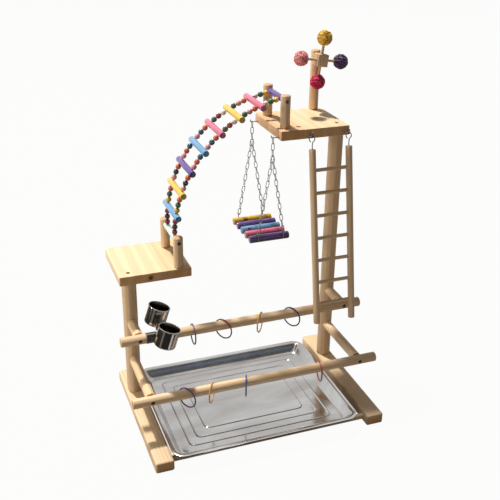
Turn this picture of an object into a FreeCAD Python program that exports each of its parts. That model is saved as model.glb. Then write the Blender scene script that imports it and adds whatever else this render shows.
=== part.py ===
import FreeCAD, Part
import math
import os

os.makedirs("parts", exist_ok=True)
V = FreeCAD.Vector

# Parrot play stand. Millimetres, +Z up, +X along the perches, +Y to the back.
# The origin is on the floor under the middle of the whole stand.

# General fits
SEAT_GAP = 0.3            # between a piece and the round or tilted piece it rests on
SCREW_CLEARANCE = 0.15    # round a screw in its hole
RUNNING_CLEARANCE = 0.08  # round what turns in or on another piece

# Base: two feet joined by two round stretchers
FOOT_LENGTH = 337.0
FOOT_WIDTH = 37.0
FOOT_HEIGHT = 23.5
FOOT_BEVEL = 3.0
FOOT_BEHIND_POST = 79.0
STRETCHER_DIA = 12.0
STRETCHER_TENON = 10.0
FRONT_STRETCHER_INSET = 21.0
BACK_STRETCHER_BEFORE_POST = 31.0

# Posts and perches
POST_DIA = 30.0
POST_SPACING = 448.0
PERCH_DIA = 20.0
PERCH_LENGTH = 525.0
PERCH_CHAMFER = 1.5
LOWER_PERCH_HEIGHT = 104.0
LOWER_PERCH_REACH = 167.0   # in front of the posts' axes
UPPER_PERCH_HEIGHT = 192.0
UPPER_PERCH_REACH = 79.0
ARM_DIA = 20.0

# Decks
DECK_WIDTH = 150.0
DECK_DEPTH = 147.0
DECK_THICKNESS = 20.0
DECK_BEVEL = 1.0
SIDE_DECK_TOP = 303.0
SIDE_DECK_LEFT_OF_POST = 21.5    # deck's outer edge from the post's axis
SIDE_DECK_BEFORE_POST = 17.0     # deck's front edge from the post's axis
TOP_DECK_TOP = 575.0
TOP_DECK_RIGHT_OF_POST = 18.0
TOP_DECK_BEFORE_POST = 24.0

# Bridge between the decks
PEG_DIA = 20.0
PEG_HEIGHT = 66.0
PEG_BEVEL = 1.5
PEG_SCREW_BELOW_TOP = 11.0
TOP_PEG_INSET = 17.0             # from the top deck's inner edge
SIDE_PEG_INSET = 24.0            # from the side deck's inner edge
TOP_PEG_SPACING = 96.0
SIDE_PEG_SPACING = 104.0
BRIDGE_BEHIND_POSTS = 48.0
BRIDGE_RISE = 68.0               # height of the arch over its straight chord
BRIDGE_SPREAD = 9.0              # how much each bead string bows outwards
STRING_END_OFFSET = 27.5         # each string from the bridge's middle at its ends
RUNG_COUNT = 9
RUNG_DIA = 13.0
RUNG_LENGTH = 102.0
RUNG_CHAMFER = 1.0
BEADS_PER_SPAN = 3
BEAD_GAP = 0.3
BRIDGE_WIRE_DIA = 1.6
BRIDGE_WIRE_END = 10.0           # wire end past the middle of the last rung
WIRE_BORE_CLEARANCE = 0.45

# Toy post and its spinner
TOY_POST_DIA = 20.0
TOY_POST_HEIGHT = 127.0
TOY_POST_FROM_EDGE = 20.5        # from the top deck's outer edge
TOY_POST_FROM_BACK = 11.0
SPINNER_BELOW_TOP = 16.0
SPACER_THICKNESS = 6.0
SPACER_SIDE = 20.0
HUB_SIDE = 23.0
HUB_HEIGHT = 25.0
HUB_CHAMFER = 1.0
AXLE_DIA = 4.0
AXLE_HEAD_DIA = 8.0
AXLE_HEAD_HEIGHT = 2.5
AXLE_IN_POST = 12.0
SPINNER_LEAN = 7.5               # degrees, how the cross stands at rest
STICK_DIA = 5.5
STICK_IN_HUB = 5.5
STICK_IN_BALL = 9.0
BALL_DIA = 33.0
BALL_DISTANCE = 45.5             # ball's centre from the spinner's axis

# Swing
SWING_HOOK_REACH = 16.0
SWING_HOOK_TIP = 5.0
SWING_HOOK_DIA = 2.0
SWING_HOOK_IN_DECK = 10.0
SWING_CHAIN_FROM_DECK = 12.0
SWING_HOOK_ABOVE_UNDERSIDE = 4.5
LINK_PITCH = 13.2
LINK_WIDTH = 7.6
LINK_WIRE = 1.6
LINK_PLAY = 0.2
STRAIGHT_LINKS = 3
ARM_LINKS = 13
SEAT_BAR_DIA = 16.0
SEAT_BAR_LENGTH = 88.0
SEAT_BAR_PITCH = 25.4
SEAT_BAR_CHAMFER = 2.0
SEAT_BAR_COUNT = 5
SEAT_WIRE_DIA = 2.0
SEAT_WIRE_FROM_END = 15.5
SEAT_WIRE_RISE = 6.0             # wire's hook above the bars
SEAT_WIRE_OVERHANG = 4.0         # wire in front of and behind the end bars
SEAT_WIRE_HOOK = 6.0

# Ladder
LADDER_WIDTH = 81.5              # between the rails' axes
LADDER_FROM_EDGE = 5.5           # outer rail's axis from the top deck's outer edge
RAIL_DIA = 14.0
RAIL_LENGTH = 372.0
LADDER_RUNG_DIA = 7.5
LADDER_RUNG_COUNT = 7
LADDER_RUNG_PITCH = 47.7
LADDER_RUNG_TENON = 5.0
EYE_WIRE_DIA = 2.0
DECK_EYE_RADIUS = 5.0
DECK_EYE_NECK = 2.5
LADDER_EYE_RADIUS = 6.0
LADDER_EYE_NECK = 15.0
EYE_PLAY = 0.3
EYE_DEPTH = 8.0

# Cups and their clips
CUP_DIA = 44.0
CUP_HEIGHT = 40.0
CUP_WALL = 1.0
CUP_BASE_ROUNDING = 4.0
CUP_LIP = 1.0
CUP_TILT = 18.0                  # degrees towards +X
CUPS_X = -178.5
FRONT_CUP_RISE = 20.0            # cup's middle above the perch's axis
REAR_CUP_RISE = 27.0
CLIP_SHEET = 1.0
CLIP_WIDTH = 22.0
FRONT_CLIP_STEP = -22.0          # clip's middle to the side of its cup's middle
REAR_CLIP_STEP = 10.0
CLIP_MOUTH = 70.0                # degrees, open under the perch
CLIP_WEB_RISE = 5.0
CLIP_STAND_OFF = 16.0            # clip's plate from the perch's axis
CLIP_PLATE_HEIGHT = 12.0
CLIP_PLATE_TOP = 15.0            # tongue above the cup's middle
CLIP_PLATE_WIDTH = 8.0           # plate past the cup's middle
CLIP_CURL_WIDTH = 14.0
CLIP_CURL_RADIUS = 3.0
RIVET_DIA = 3.0
RIVET_HEAD_DIA = 6.0
RIVET_HEAD_HEIGHT = 0.8

# Toy rings: place along the perch and turn from square to the perch, degrees
RING_DIA = 45.0
RING_WIRE = 3.0
RINGS = {
    "ring_upper_violet": ("upper", -113.0, 2.0),
    "ring_upper_red": ("upper", -48.0, -34.0),
    "ring_upper_gold": ("upper", 33.0, 36.0),
    "ring_upper_navy": ("upper", 105.0, -32.0),
    "ring_lower_purple": ("lower", -153.0, -34.0),
    "ring_lower_gold": ("lower", -102.0, 31.0),
    "ring_lower_blue": ("lower", -29.0, 20.0),
    "ring_lower_red": ("lower", 134.0, 10.0),
}

# Tray
TRAY_WIDTH = 392.0
TRAY_DEPTH = 317.0
TRAY_FROM_POST = 1.0             # tray's left rim from the left post
TRAY_HEIGHT = 18.0
TRAY_SHEET = 1.2
TRAY_CORNER = 26.0
TRAY_RIM = 9.0
TRAY_SLOPE = 13.0                # how far the wall leans out
TRAY_FRONT_BEFORE_POST = 267.5
TRAY_RIB_WIDTH = 3.0
TRAY_RIB_HEIGHT = 1.2
TRAY_RIB_INSETS = (44.0, 64.0, 88.0)   # from the tray's outline

# Screws
SCREW_HEAD_DIA = 8.0
SCREW_HEAD_HEIGHT = 2.6
SCREW_DIA = 3.6
SCREW_SINK = 1.2
SCREW_GRIP = 14.0                # length in the second piece

# Facets of the small repeated pieces
BEAD_SIDES = 8
BRIDGE_WIRE_STEPS = 48
LINK_WIRE_SIDES = 4
EYE_WIRE_SIDES = 6
RING_SIDES = 22
RING_WIRE_SIDES = 5
BALL_SIDES = 12
BALL_BANDS = 6
SCREW_SIDES = 8

# Bead colours of each span, from the top rung down to the bottom rung
SPAN_COLOURS = (
    ("yellow", "green", "white"),
    ("orange", "pink", "green"),
    ("white", "red", "green"),
    ("orange", "teal", "pink"),
    ("teal", "orange", "pink"),
    ("orange", "black", "pink"),
    ("orange", "green", "yellow"),
    ("red", "black", "red"),
)
# Rung colours from the top rung down
RUNG_COLOURS = ("purple", "pink", "yellow", "pink", "blue", "purple", "yellow", "blue", "mint")
SEAT_BAR_COLOURS = ("plum", "pink", "blue", "purple", "gold")
BALL_COLOURS = ("yellow", "purple", "crimson", "pink")

# Places worked out from the sizes above
front_reach = max(FOOT_LENGTH - FOOT_BEHIND_POST, TRAY_FRONT_BEFORE_POST)
back_reach = max(FOOT_BEHIND_POST, DECK_DEPTH - min(SIDE_DECK_BEFORE_POST, TOP_DECK_BEFORE_POST))
post_y = (front_reach - back_reach) / 2
post_left_x = -POST_SPACING / 2
post_right_x = POST_SPACING / 2
upper_perch_y = post_y - UPPER_PERCH_REACH
lower_perch_y = post_y - LOWER_PERCH_REACH
side_deck_left = post_left_x - SIDE_DECK_LEFT_OF_POST
side_deck_front = post_y - SIDE_DECK_BEFORE_POST
top_deck_right = post_right_x + TOP_DECK_RIGHT_OF_POST
top_deck_left = top_deck_right - DECK_WIDTH
top_deck_front = post_y - TOP_DECK_BEFORE_POST
bridge_y = post_y + BRIDGE_BEHIND_POSTS
top_peg_x = top_deck_left + TOP_PEG_INSET
side_peg_x = side_deck_left + DECK_WIDTH - SIDE_PEG_INSET
wire_bore = BRIDGE_WIRE_DIA / 2 + WIRE_BORE_CLEARANCE

pieces = {}
screws = []


def rod(radius, start, end, chamfer=0.0):
    """A round bar from start to end, its ends bevelled if a chamfer is given."""
    along = end - start
    bar = Part.makeCylinder(radius, along.Length, start, along)
    if chamfer > 0:
        rims = [edge for edge in bar.Edges if isinstance(edge.Curve, Part.Circle)]
        bar = bar.makeChamfer(chamfer, rims)
    return bar


def board(width, depth, height, corner, bevel):
    """A board from its lowest corner, with every edge eased."""
    block = Part.makeBox(width, depth, height, corner)
    return block.makeChamfer(bevel, block.Edges)


def closed_solid(faces):
    """Flat faces sewn into one solid that is turned right side out."""
    shell = Part.makeShell(faces)
    shell.sewShape()
    solid = Part.Solid(shell)
    if solid.Volume < 0:
        solid.reverse()
    return solid


def flat_face(corners):
    return Part.Face(Part.makePolygon(corners + [corners[0]]))


def faceted_turning(profile, sides):
    """A closed profile of (radius, height) points turned about Z in flat facets."""
    faces = []
    angles = [2 * math.pi * i / sides for i in range(sides + 1)]
    for first, second in zip(profile, profile[1:] + profile[:1]):
        if first[0] == 0 and second[0] == 0:
            continue
        for a, b in zip(angles, angles[1:]):
            corners = [V(first[0] * math.cos(a), first[0] * math.sin(a), first[1])]
            if first[0] > 0:
                corners.append(V(first[0] * math.cos(b), first[0] * math.sin(b), first[1]))
            corners.append(V(second[0] * math.cos(b), second[0] * math.sin(b), second[1]))
            if second[0] > 0:
                corners.append(V(second[0] * math.cos(a), second[0] * math.sin(a), second[1]))
            faces.append(flat_face(corners))
    return closed_solid(faces)


def bent_wire(points, normal, radius, sides, closed):
    """A wire of flat facets along a path that lies in the plane square to normal."""
    count = len(points)
    sections = []
    for i, point in enumerate(points):
        sides_here = []
        if closed or i > 0:
            sides_here.append(normal.cross((point - points[i - 1]).normalize()))
        if closed or i < count - 1:
            sides_here.append(normal.cross((points[(i + 1) % count] - point).normalize()))
        mitre = sides_here[0]
        if len(sides_here) == 2:
            total = sides_here[0] + sides_here[1]
            mitre = total * (1 / (1 + sides_here[0].dot(sides_here[1])))
        ring = []
        for k in range(sides):
            turn = 2 * math.pi * (k + 0.5) / sides
            ring.append(point + mitre * (radius * math.cos(turn)) + normal * (radius * math.sin(turn)))
        sections.append(ring)
    faces = []
    last = count if closed else count - 1
    for i in range(last):
        near = sections[i]
        far = sections[(i + 1) % count]
        for k in range(sides):
            m = (k + 1) % sides
            faces.append(flat_face([near[k], near[m], far[m], far[k]]))
    if not closed:
        faces.append(flat_face(sections[0]))
        faces.append(flat_face(sections[-1]))
    return closed_solid(faces)


def placed(shape, at, direction):
    """The shape moved to a point, its own Z turned to the direction."""
    moved = shape.copy()
    moved.Placement = FreeCAD.Placement(at, FreeCAD.Rotation(V(0, 0, 1), direction))
    return moved


def turned_about(shape, at, axis, degrees):
    moved = shape.copy()
    moved.rotate(at, axis, degrees)
    return moved


def fasten(hosts, head_at, direction, length):
    """Sink one screw through the named pieces and cut its hole in each."""
    neck = SCREW_SINK + SCREW_HEAD_HEIGHT
    head = SCREW_HEAD_DIA / 2
    shank = SCREW_DIA / 2
    profile = [(0, SCREW_SINK), (head, SCREW_SINK), (shank, neck), (shank, length), (0, length)]
    screws.append(placed(faceted_turning(profile, SCREW_SIDES), head_at, direction))
    ease = SCREW_CLEARANCE
    widest = head + ease
    cone = Part.makeCone(widest, shank + ease, neck - SCREW_SINK + ease, V(0, 0, SCREW_SINK))
    hole = Part.makeCylinder(shank + ease, length + ease).fuse(cone)
    hole = hole.fuse(Part.makeCylinder(widest, SCREW_SINK + 1, V(0, 0, -1)))
    hole = placed(hole, head_at, direction)
    for host in hosts:
        pieces[host] = pieces[host].cut(hole)


# Feet and stretchers
foot_front = post_y + FOOT_BEHIND_POST - FOOT_LENGTH
stretcher_z = FOOT_HEIGHT / 2
stretcher_ys = (foot_front + FRONT_STRETCHER_INSET, post_y - BACK_STRETCHER_BEFORE_POST)
tenon_x = POST_SPACING / 2 - FOOT_WIDTH / 2 + STRETCHER_TENON
for name, x in (("foot_left", post_left_x), ("foot_right", post_right_x)):
    corner = V(x - FOOT_WIDTH / 2, foot_front, 0)
    foot = board(FOOT_WIDTH, FOOT_LENGTH, FOOT_HEIGHT, corner, FOOT_BEVEL)
    for y in stretcher_ys:
        socket_half = tenon_x + SEAT_GAP
        foot = foot.cut(rod(STRETCHER_DIA / 2 + SCREW_CLEARANCE, V(-socket_half, y, stretcher_z),
                            V(socket_half, y, stretcher_z)))
    pieces[name] = foot
bars = [rod(STRETCHER_DIA / 2, V(-tenon_x, y, stretcher_z), V(tenon_x, y, stretcher_z)) for y in stretcher_ys]
pieces["stretchers"] = Part.makeCompound(bars)

# Posts
side_deck_underside = SIDE_DECK_TOP - DECK_THICKNESS
top_deck_underside = TOP_DECK_TOP - DECK_THICKNESS
pieces["post_left"] = rod(POST_DIA / 2, V(post_left_x, post_y, FOOT_HEIGHT),
                          V(post_left_x, post_y, side_deck_underside))
pieces["post_right"] = rod(POST_DIA / 2, V(post_right_x, post_y, FOOT_HEIGHT),
                           V(post_right_x, post_y, top_deck_underside))

# Perches and the arms that hold them
perch_half = PERCH_LENGTH / 2
pieces["perch_upper"] = rod(PERCH_DIA / 2, V(-perch_half, upper_perch_y, UPPER_PERCH_HEIGHT),
                            V(perch_half, upper_perch_y, UPPER_PERCH_HEIGHT), PERCH_CHAMFER)
pieces["perch_lower"] = rod(PERCH_DIA / 2, V(-perch_half, lower_perch_y, LOWER_PERCH_HEIGHT),
                            V(perch_half, lower_perch_y, LOWER_PERCH_HEIGHT), PERCH_CHAMFER)
arms = []
for perch_y, z in ((upper_perch_y, UPPER_PERCH_HEIGHT), (lower_perch_y, LOWER_PERCH_HEIGHT)):
    for x in (post_left_x, post_right_x):
        arm = rod(ARM_DIA / 2, V(x, perch_y + PERCH_DIA / 2 + SEAT_GAP, z), V(x, post_y, z))
        hollow = Part.makeCylinder(POST_DIA / 2 + SEAT_GAP, ARM_DIA * 2, V(x, post_y, z - ARM_DIA))
        arms.append(arm.cut(hollow))
pieces["arms"] = Part.makeCompound(arms)

# Decks
pieces["deck_side"] = board(DECK_WIDTH, DECK_DEPTH, DECK_THICKNESS,
                            V(side_deck_left, side_deck_front, side_deck_underside), DECK_BEVEL)
pieces["deck_top"] = board(DECK_WIDTH, DECK_DEPTH, DECK_THICKNESS,
                           V(top_deck_left, top_deck_front, top_deck_underside), DECK_BEVEL)

# Pegs that hold the ends of the bridge
pegs = []
peg_places = []
for x, base, spacing in ((side_peg_x, SIDE_DECK_TOP, SIDE_PEG_SPACING),
                         (top_peg_x, TOP_DECK_TOP, TOP_PEG_SPACING)):
    for side in (-1, 1):
        foot_at = V(x, bridge_y + side * spacing / 2, base)
        peg = rod(PEG_DIA / 2, foot_at, foot_at + V(0, 0, PEG_HEIGHT))
        top_edges = [edge for edge in peg.Edges if isinstance(edge.Curve, Part.Circle)
                     and edge.CenterOfMass.z > base + PEG_HEIGHT / 2]
        pegs.append(peg.makeChamfer(PEG_BEVEL, top_edges))
        peg_places.append((foot_at, side))
pieces["bridge_pegs"] = Part.makeCompound(pegs)

# Toy post
toy_post_at = V(top_deck_right - TOY_POST_FROM_EDGE,
                top_deck_front + DECK_DEPTH - TOY_POST_FROM_BACK, TOP_DECK_TOP)
pieces["toy_post"] = rod(TOY_POST_DIA / 2, toy_post_at, toy_post_at + V(0, 0, TOY_POST_HEIGHT), PEG_BEVEL)

# The bridge's arch: each bead string lies on one circular arc in its own leaning plane
low_end = V(side_peg_x, bridge_y, SIDE_DECK_TOP + PEG_HEIGHT - PEG_SCREW_BELOW_TOP)
high_end = V(top_peg_x, bridge_y, TOP_DECK_TOP + PEG_HEIGHT - PEG_SCREW_BELOW_TOP)
chord = (high_end - low_end).Length
chord_way = (high_end - low_end).normalize()
outward = V(-chord_way.z, 0, chord_way.x)
sagitta = math.hypot(BRIDGE_RISE, BRIDGE_SPREAD)
arch_radius = (chord * chord / 4 + sagitta * sagitta) / (2 * sagitta)
half_angle = math.asin(chord / (2 * arch_radius))
span_angle = 2 * half_angle / (RUNG_COUNT - 1)
span_length = arch_radius * span_angle
bead_dia = (span_length - RUNG_DIA - (BEADS_PER_SPAN + 1) * BEAD_GAP) / BEADS_PER_SPAN


def string_point(side, angle):
    """Point and direction on one string, at an angle from the middle of the arch."""
    lean = (outward * BRIDGE_RISE + V(0, side * BRIDGE_SPREAD, 0)) * (1 / sagitta)
    middle = (low_end + high_end) * 0.5 + V(0, side * STRING_END_OFFSET, 0)
    centre = middle - lean * (arch_radius - sagitta)
    point = centre + (chord_way * math.sin(angle) + lean * math.cos(angle)) * arch_radius
    way = chord_way * math.cos(angle) - lean * math.sin(angle)
    return point, way


def bridge_wire(side):
    reach = half_angle + BRIDGE_WIRE_END / arch_radius
    angles = [reach * (2 * i / BRIDGE_WIRE_STEPS - 1) for i in range(BRIDGE_WIRE_STEPS + 1)]
    path = [string_point(side, angle)[0] for angle in angles]
    square = string_point(side, 0)[1].cross((path[BRIDGE_WIRE_STEPS // 2] - path[0])).normalize()
    return bent_wire(path, square, BRIDGE_WIRE_DIA / 2, EYE_WIRE_SIDES, False)


pieces["bridge_wires"] = Part.makeCompound([bridge_wire(side) for side in (-1, 1)])

# Rungs, drilled for both strings
rungs = {colour: [] for colour in RUNG_COLOURS}
for i in range(RUNG_COUNT):
    angle = half_angle - i * span_angle
    centre = string_point(1, angle)[0]
    half = RUNG_LENGTH / 2
    if i == 0:
        half = (TOP_PEG_SPACING - PEG_DIA) / 2 - SEAT_GAP
    if i == RUNG_COUNT - 1:
        half = (SIDE_PEG_SPACING - PEG_DIA) / 2 - SEAT_GAP
    rung = rod(RUNG_DIA / 2, V(centre.x, bridge_y - half, centre.z),
               V(centre.x, bridge_y + half, centre.z), RUNG_CHAMFER)
    for side in (-1, 1):
        point, way = string_point(side, angle)
        rung = rung.cut(rod(wire_bore, point - way * RUNG_DIA, point + way * RUNG_DIA))
    rungs[RUNG_COLOURS[i]].append(rung)
for colour, group in rungs.items():
    pieces["rungs_" + colour] = Part.makeCompound(group)

# Beads, threaded between the rungs
bead_radius = bead_dia / 2
bead_end = bead_radius * 0.48
bead = faceted_turning([(wire_bore, -bead_radius), (bead_end, -bead_radius),
                        (bead_radius, -bead_radius * 0.42), (bead_radius, bead_radius * 0.42),
                        (bead_end, bead_radius), (wire_bore, bead_radius)], BEAD_SIDES)
beads = {}
for span, colours in enumerate(SPAN_COLOURS):
    for place, colour in enumerate(colours):
        from_rung = RUNG_DIA / 2 + BEAD_GAP + bead_radius + place * (bead_dia + BEAD_GAP)
        angle = half_angle - span * span_angle - from_rung / arch_radius
        for side in (-1, 1):
            point, way = string_point(side, angle)
            beads.setdefault(colour, []).append(placed(bead, point, way))
for colour, group in beads.items():
    pieces["beads_" + colour] = Part.makeCompound(group)

# Spinner: hub on a screw axle, four sticks, four rattan balls
spinner_at = toy_post_at + V(0, 0, TOY_POST_HEIGHT - SPINNER_BELOW_TOP)
spacer_back = spinner_at.y - TOY_POST_DIA / 2 - SEAT_GAP
spacer_front = spacer_back - SPACER_THICKNESS
hub_back = spacer_front - SEAT_GAP
hub_middle = V(spinner_at.x, hub_back - HUB_SIDE / 2, spinner_at.z)
hub_front = hub_back - HUB_SIDE
axle_bore = rod(AXLE_DIA / 2 + RUNNING_CLEARANCE, V(hub_middle.x, hub_front - 1, hub_middle.z),
                V(hub_middle.x, spinner_at.y - TOY_POST_DIA / 2 + AXLE_IN_POST + SEAT_GAP, hub_middle.z))
head_recess = rod(AXLE_HEAD_DIA / 2 + SEAT_GAP, V(hub_middle.x, hub_front - 1, hub_middle.z),
                  V(hub_middle.x, hub_front + AXLE_HEAD_HEIGHT + SEAT_GAP, hub_middle.z))
hub = Part.makeBox(HUB_SIDE, HUB_SIDE, HUB_HEIGHT,
                   hub_middle - V(HUB_SIDE / 2, HUB_SIDE / 2, HUB_HEIGHT / 2))
hub = hub.makeChamfer(HUB_CHAMFER, hub.Edges)
spacer = Part.makeBox(SPACER_SIDE, SPACER_THICKNESS, SPACER_SIDE,
                      V(hub_middle.x - SPACER_SIDE / 2, spacer_front, hub_middle.z - SPACER_SIDE / 2))
pieces["spinner_spacer"] = spacer.cut(axle_bore)
pieces["toy_post"] = pieces["toy_post"].cut(axle_bore)
axle_front = hub_front + SEAT_GAP
axle_head = rod(AXLE_HEAD_DIA / 2, V(hub_middle.x, axle_front, hub_middle.z),
                V(hub_middle.x, axle_front + AXLE_HEAD_HEIGHT, hub_middle.z))
axle_shank = rod(AXLE_DIA / 2, V(hub_middle.x, axle_front, hub_middle.z),
                 V(hub_middle.x, spinner_at.y - TOY_POST_DIA / 2 + AXLE_IN_POST, hub_middle.z))
pieces["spinner_axle"] = axle_head.fuse(axle_shank).removeSplitter()

hub = hub.cut(axle_bore).cut(head_recess)
sticks = []
stick_directions = (V(0, 0, 1), V(1, 0, 0), V(0, 0, -1), V(-1, 0, 0))
ball_radius = BALL_DIA / 2
stick_end = BALL_DISTANCE - ball_radius + STICK_IN_BALL
ball_hole = STICK_DIA / 2 + SCREW_CLEARANCE
for colour, way in zip(BALL_COLOURS, stick_directions):
    stick_start = (HUB_HEIGHT if way.z else HUB_SIDE) / 2 - STICK_IN_HUB
    socket = rod(STICK_DIA / 2 + SCREW_CLEARANCE, hub_middle + way * (stick_start - SEAT_GAP),
                 hub_middle + way * HUB_HEIGHT)
    hub = hub.cut(socket)
    stick = rod(STICK_DIA / 2, hub_middle + way * stick_start, hub_middle + way * stick_end)
    sticks.append(turned_about(stick, hub_middle, V(0, 1, 0), SPINNER_LEAN))
    # the ball's outline starts at the mouth of the stick's hole, on the side of the hub
    mouth = math.asin(ball_hole / ball_radius)
    outline = [(0, STICK_IN_BALL + SEAT_GAP - ball_radius)]
    outline.append((ball_hole, STICK_IN_BALL + SEAT_GAP - ball_radius))
    for band in range(BALL_BANDS):
        angle = mouth + (math.pi - mouth) * band / BALL_BANDS
        outline.append((ball_radius * math.sin(angle), -ball_radius * math.cos(angle)))
    outline.append((0, ball_radius))
    ball = placed(faceted_turning(outline, BALL_SIDES), hub_middle + way * BALL_DISTANCE, way)
    pieces["ball_" + colour] = turned_about(ball, hub_middle, V(0, 1, 0), SPINNER_LEAN)
pieces["spinner_hub"] = turned_about(hub, hub_middle, V(0, 1, 0), SPINNER_LEAN)
pieces["spinner_sticks"] = Part.makeCompound(sticks)

# Swing: wire hooks in the deck's edge, chains of links, and a seat of five bars on two wires
chain_x = top_deck_left - SWING_CHAIN_FROM_DECK
swing_y = top_deck_front + DECK_DEPTH / 2
hook_z = top_deck_underside + SWING_HOOK_ABOVE_UNDERSIDE
seat_half_depth = (SEAT_BAR_COUNT - 1) * SEAT_BAR_PITCH / 2
wire_end = seat_half_depth + SEAT_BAR_DIA / 2 + SEAT_WIRE_OVERHANG
chain_y_offset = wire_end - SEAT_WIRE_HOOK / 2
hooks = []
for side in (-1, 1):
    y = swing_y + side * chain_y_offset
    path = [V(top_deck_left + SWING_HOOK_IN_DECK, y, hook_z), V(top_deck_left - SWING_HOOK_REACH, y, hook_z),
            V(top_deck_left - SWING_HOOK_REACH, y, hook_z + SWING_HOOK_TIP)]
    hooks.append(bent_wire(path, V(0, 1, 0), SWING_HOOK_DIA / 2, EYE_WIRE_SIDES, False))
    bore = rod(SWING_HOOK_DIA / 2 + SCREW_CLEARANCE, V(top_deck_left - 1, y, hook_z),
               V(top_deck_left + SWING_HOOK_IN_DECK + SEAT_GAP, y, hook_z))
    pieces["deck_top"] = pieces["deck_top"].cut(bore)
pieces["swing_hooks"] = Part.makeCompound(hooks)

link_half = (LINK_PITCH + LINK_WIRE + LINK_PLAY) / 2     # to the middle of the wire at a link's end
link_side = (LINK_WIDTH - LINK_WIRE) / 2
swing_pivot_z = hook_z + SWING_HOOK_DIA / 2 + LINK_WIRE / 2 + LINK_PLAY


def chain_link(centre, down, across):
    """One link, long way down, wide way across."""
    shoulder = link_half - link_side * 0.6
    crown = link_side * 0.45
    outline = [(link_side, shoulder), (crown, link_half), (-crown, link_half), (-link_side, shoulder),
               (-link_side, -shoulder), (-crown, -link_half), (crown, -link_half), (link_side, -shoulder)]
    path = [centre + across * a - down * b for a, b in outline]
    return bent_wire(path, across.cross(down), LINK_WIRE / 2, LINK_WIRE_SIDES, True)


straight_drop = STRAIGHT_LINKS * LINK_PITCH
arm_spread = SEAT_BAR_LENGTH / 2 - SEAT_WIRE_FROM_END
arm_length = ARM_LINKS * LINK_PITCH
arm_drop = math.sqrt(arm_length * arm_length - arm_spread * arm_spread)
seat_hook_z = swing_pivot_z - straight_drop - arm_drop + LINK_WIRE / 2 - LINK_PLAY
links = []
down = V(0, 0, -1)
for side in (-1, 1):
    y = swing_y + side * chain_y_offset
    for i in range(STRAIGHT_LINKS):
        centre = V(chain_x, y, swing_pivot_z - link_half - i * LINK_PITCH)
        across = V(0, 1, 0) if i % 2 == 0 else V(1, 0, 0)
        links.append(chain_link(centre, down, across))
    for arm in (-1, 1):
        way = V(arm * arm_spread, 0, -arm_drop).normalize()
        arm_top = V(chain_x, y + arm * LINK_WIRE * 0.6, swing_pivot_z - straight_drop)
        for i in range(ARM_LINKS):
            centre = arm_top + way * (link_half + i * LINK_PITCH)
            across = V(0, 1, 0).cross(way) if i % 2 == 0 else V(0, 1, 0)
            links.append(chain_link(centre, way, across))
pieces["swing_chains"] = Part.makeCompound(links)

seat_wire_radius = SEAT_WIRE_DIA / 2
bar_z = seat_hook_z - SEAT_WIRE_RISE - SEAT_BAR_DIA / 2
wires = []
for arm in (-1, 1):
    x = chain_x + arm * arm_spread
    front = swing_y - wire_end
    back = swing_y + wire_end
    path = [V(x, front + SEAT_WIRE_HOOK, seat_hook_z), V(x, front, seat_hook_z), V(x, front, bar_z),
            V(x, back, bar_z), V(x, back, seat_hook_z), V(x, back - SEAT_WIRE_HOOK, seat_hook_z)]
    wires.append(bent_wire(path, V(1, 0, 0), seat_wire_radius, EYE_WIRE_SIDES, False))
pieces["seat_wires"] = Part.makeCompound(wires)
for i, colour in enumerate(SEAT_BAR_COLOURS):
    y = swing_y - seat_half_depth + i * SEAT_BAR_PITCH
    half = SEAT_BAR_LENGTH / 2
    bar = rod(SEAT_BAR_DIA / 2, V(chain_x - half, y, bar_z), V(chain_x + half, y, bar_z), SEAT_BAR_CHAMFER)
    for arm in (-1, 1):
        x = chain_x + arm * arm_spread
        bar = bar.cut(rod(seat_wire_radius + SCREW_CLEARANCE, V(x, y - SEAT_BAR_DIA, bar_z),
                          V(x, y + SEAT_BAR_DIA, bar_z)))
    pieces["seat_bar_" + colour] = bar

# Ladder: hangs by screw eyes from eyes in the deck and leans on the upper perch
rail_xs = (top_deck_right - LADDER_FROM_EDGE - LADDER_WIDTH, top_deck_right - LADDER_FROM_EDGE)
deck_eye_z = TOP_DECK_TOP - DECK_THICKNESS / 2
deck_eye_y = top_deck_front - DECK_EYE_NECK - DECK_EYE_RADIUS
ladder_pivot = V(0, deck_eye_y, deck_eye_z - DECK_EYE_RADIUS + EYE_WIRE_DIA + EYE_PLAY)
to_perch = V(0, upper_perch_y, UPPER_PERCH_HEIGHT) - ladder_pivot
touching = (RAIL_DIA + PERCH_DIA) / 2 + SEAT_GAP
ladder_lean = math.degrees(math.atan2(-to_perch.y, -to_perch.z) + math.asin(touching / to_perch.Length))


def screw_eye(foot_at, way, normal, ring_radius, neck):
    """A wire eye: shank in the wood, a neck, and a ring that ends short of the neck."""
    sideways = normal.cross(way)
    centre = foot_at + way * (neck + ring_radius)
    path = [foot_at - way * EYE_DEPTH]
    for step in range(8):
        turn = math.pi - step * math.pi / 4
        path.append(centre + way * (ring_radius * math.cos(turn)) + sideways * (ring_radius * math.sin(turn)))
    return bent_wire(path, normal, EYE_WIRE_DIA / 2, EYE_WIRE_SIDES, False)


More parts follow.
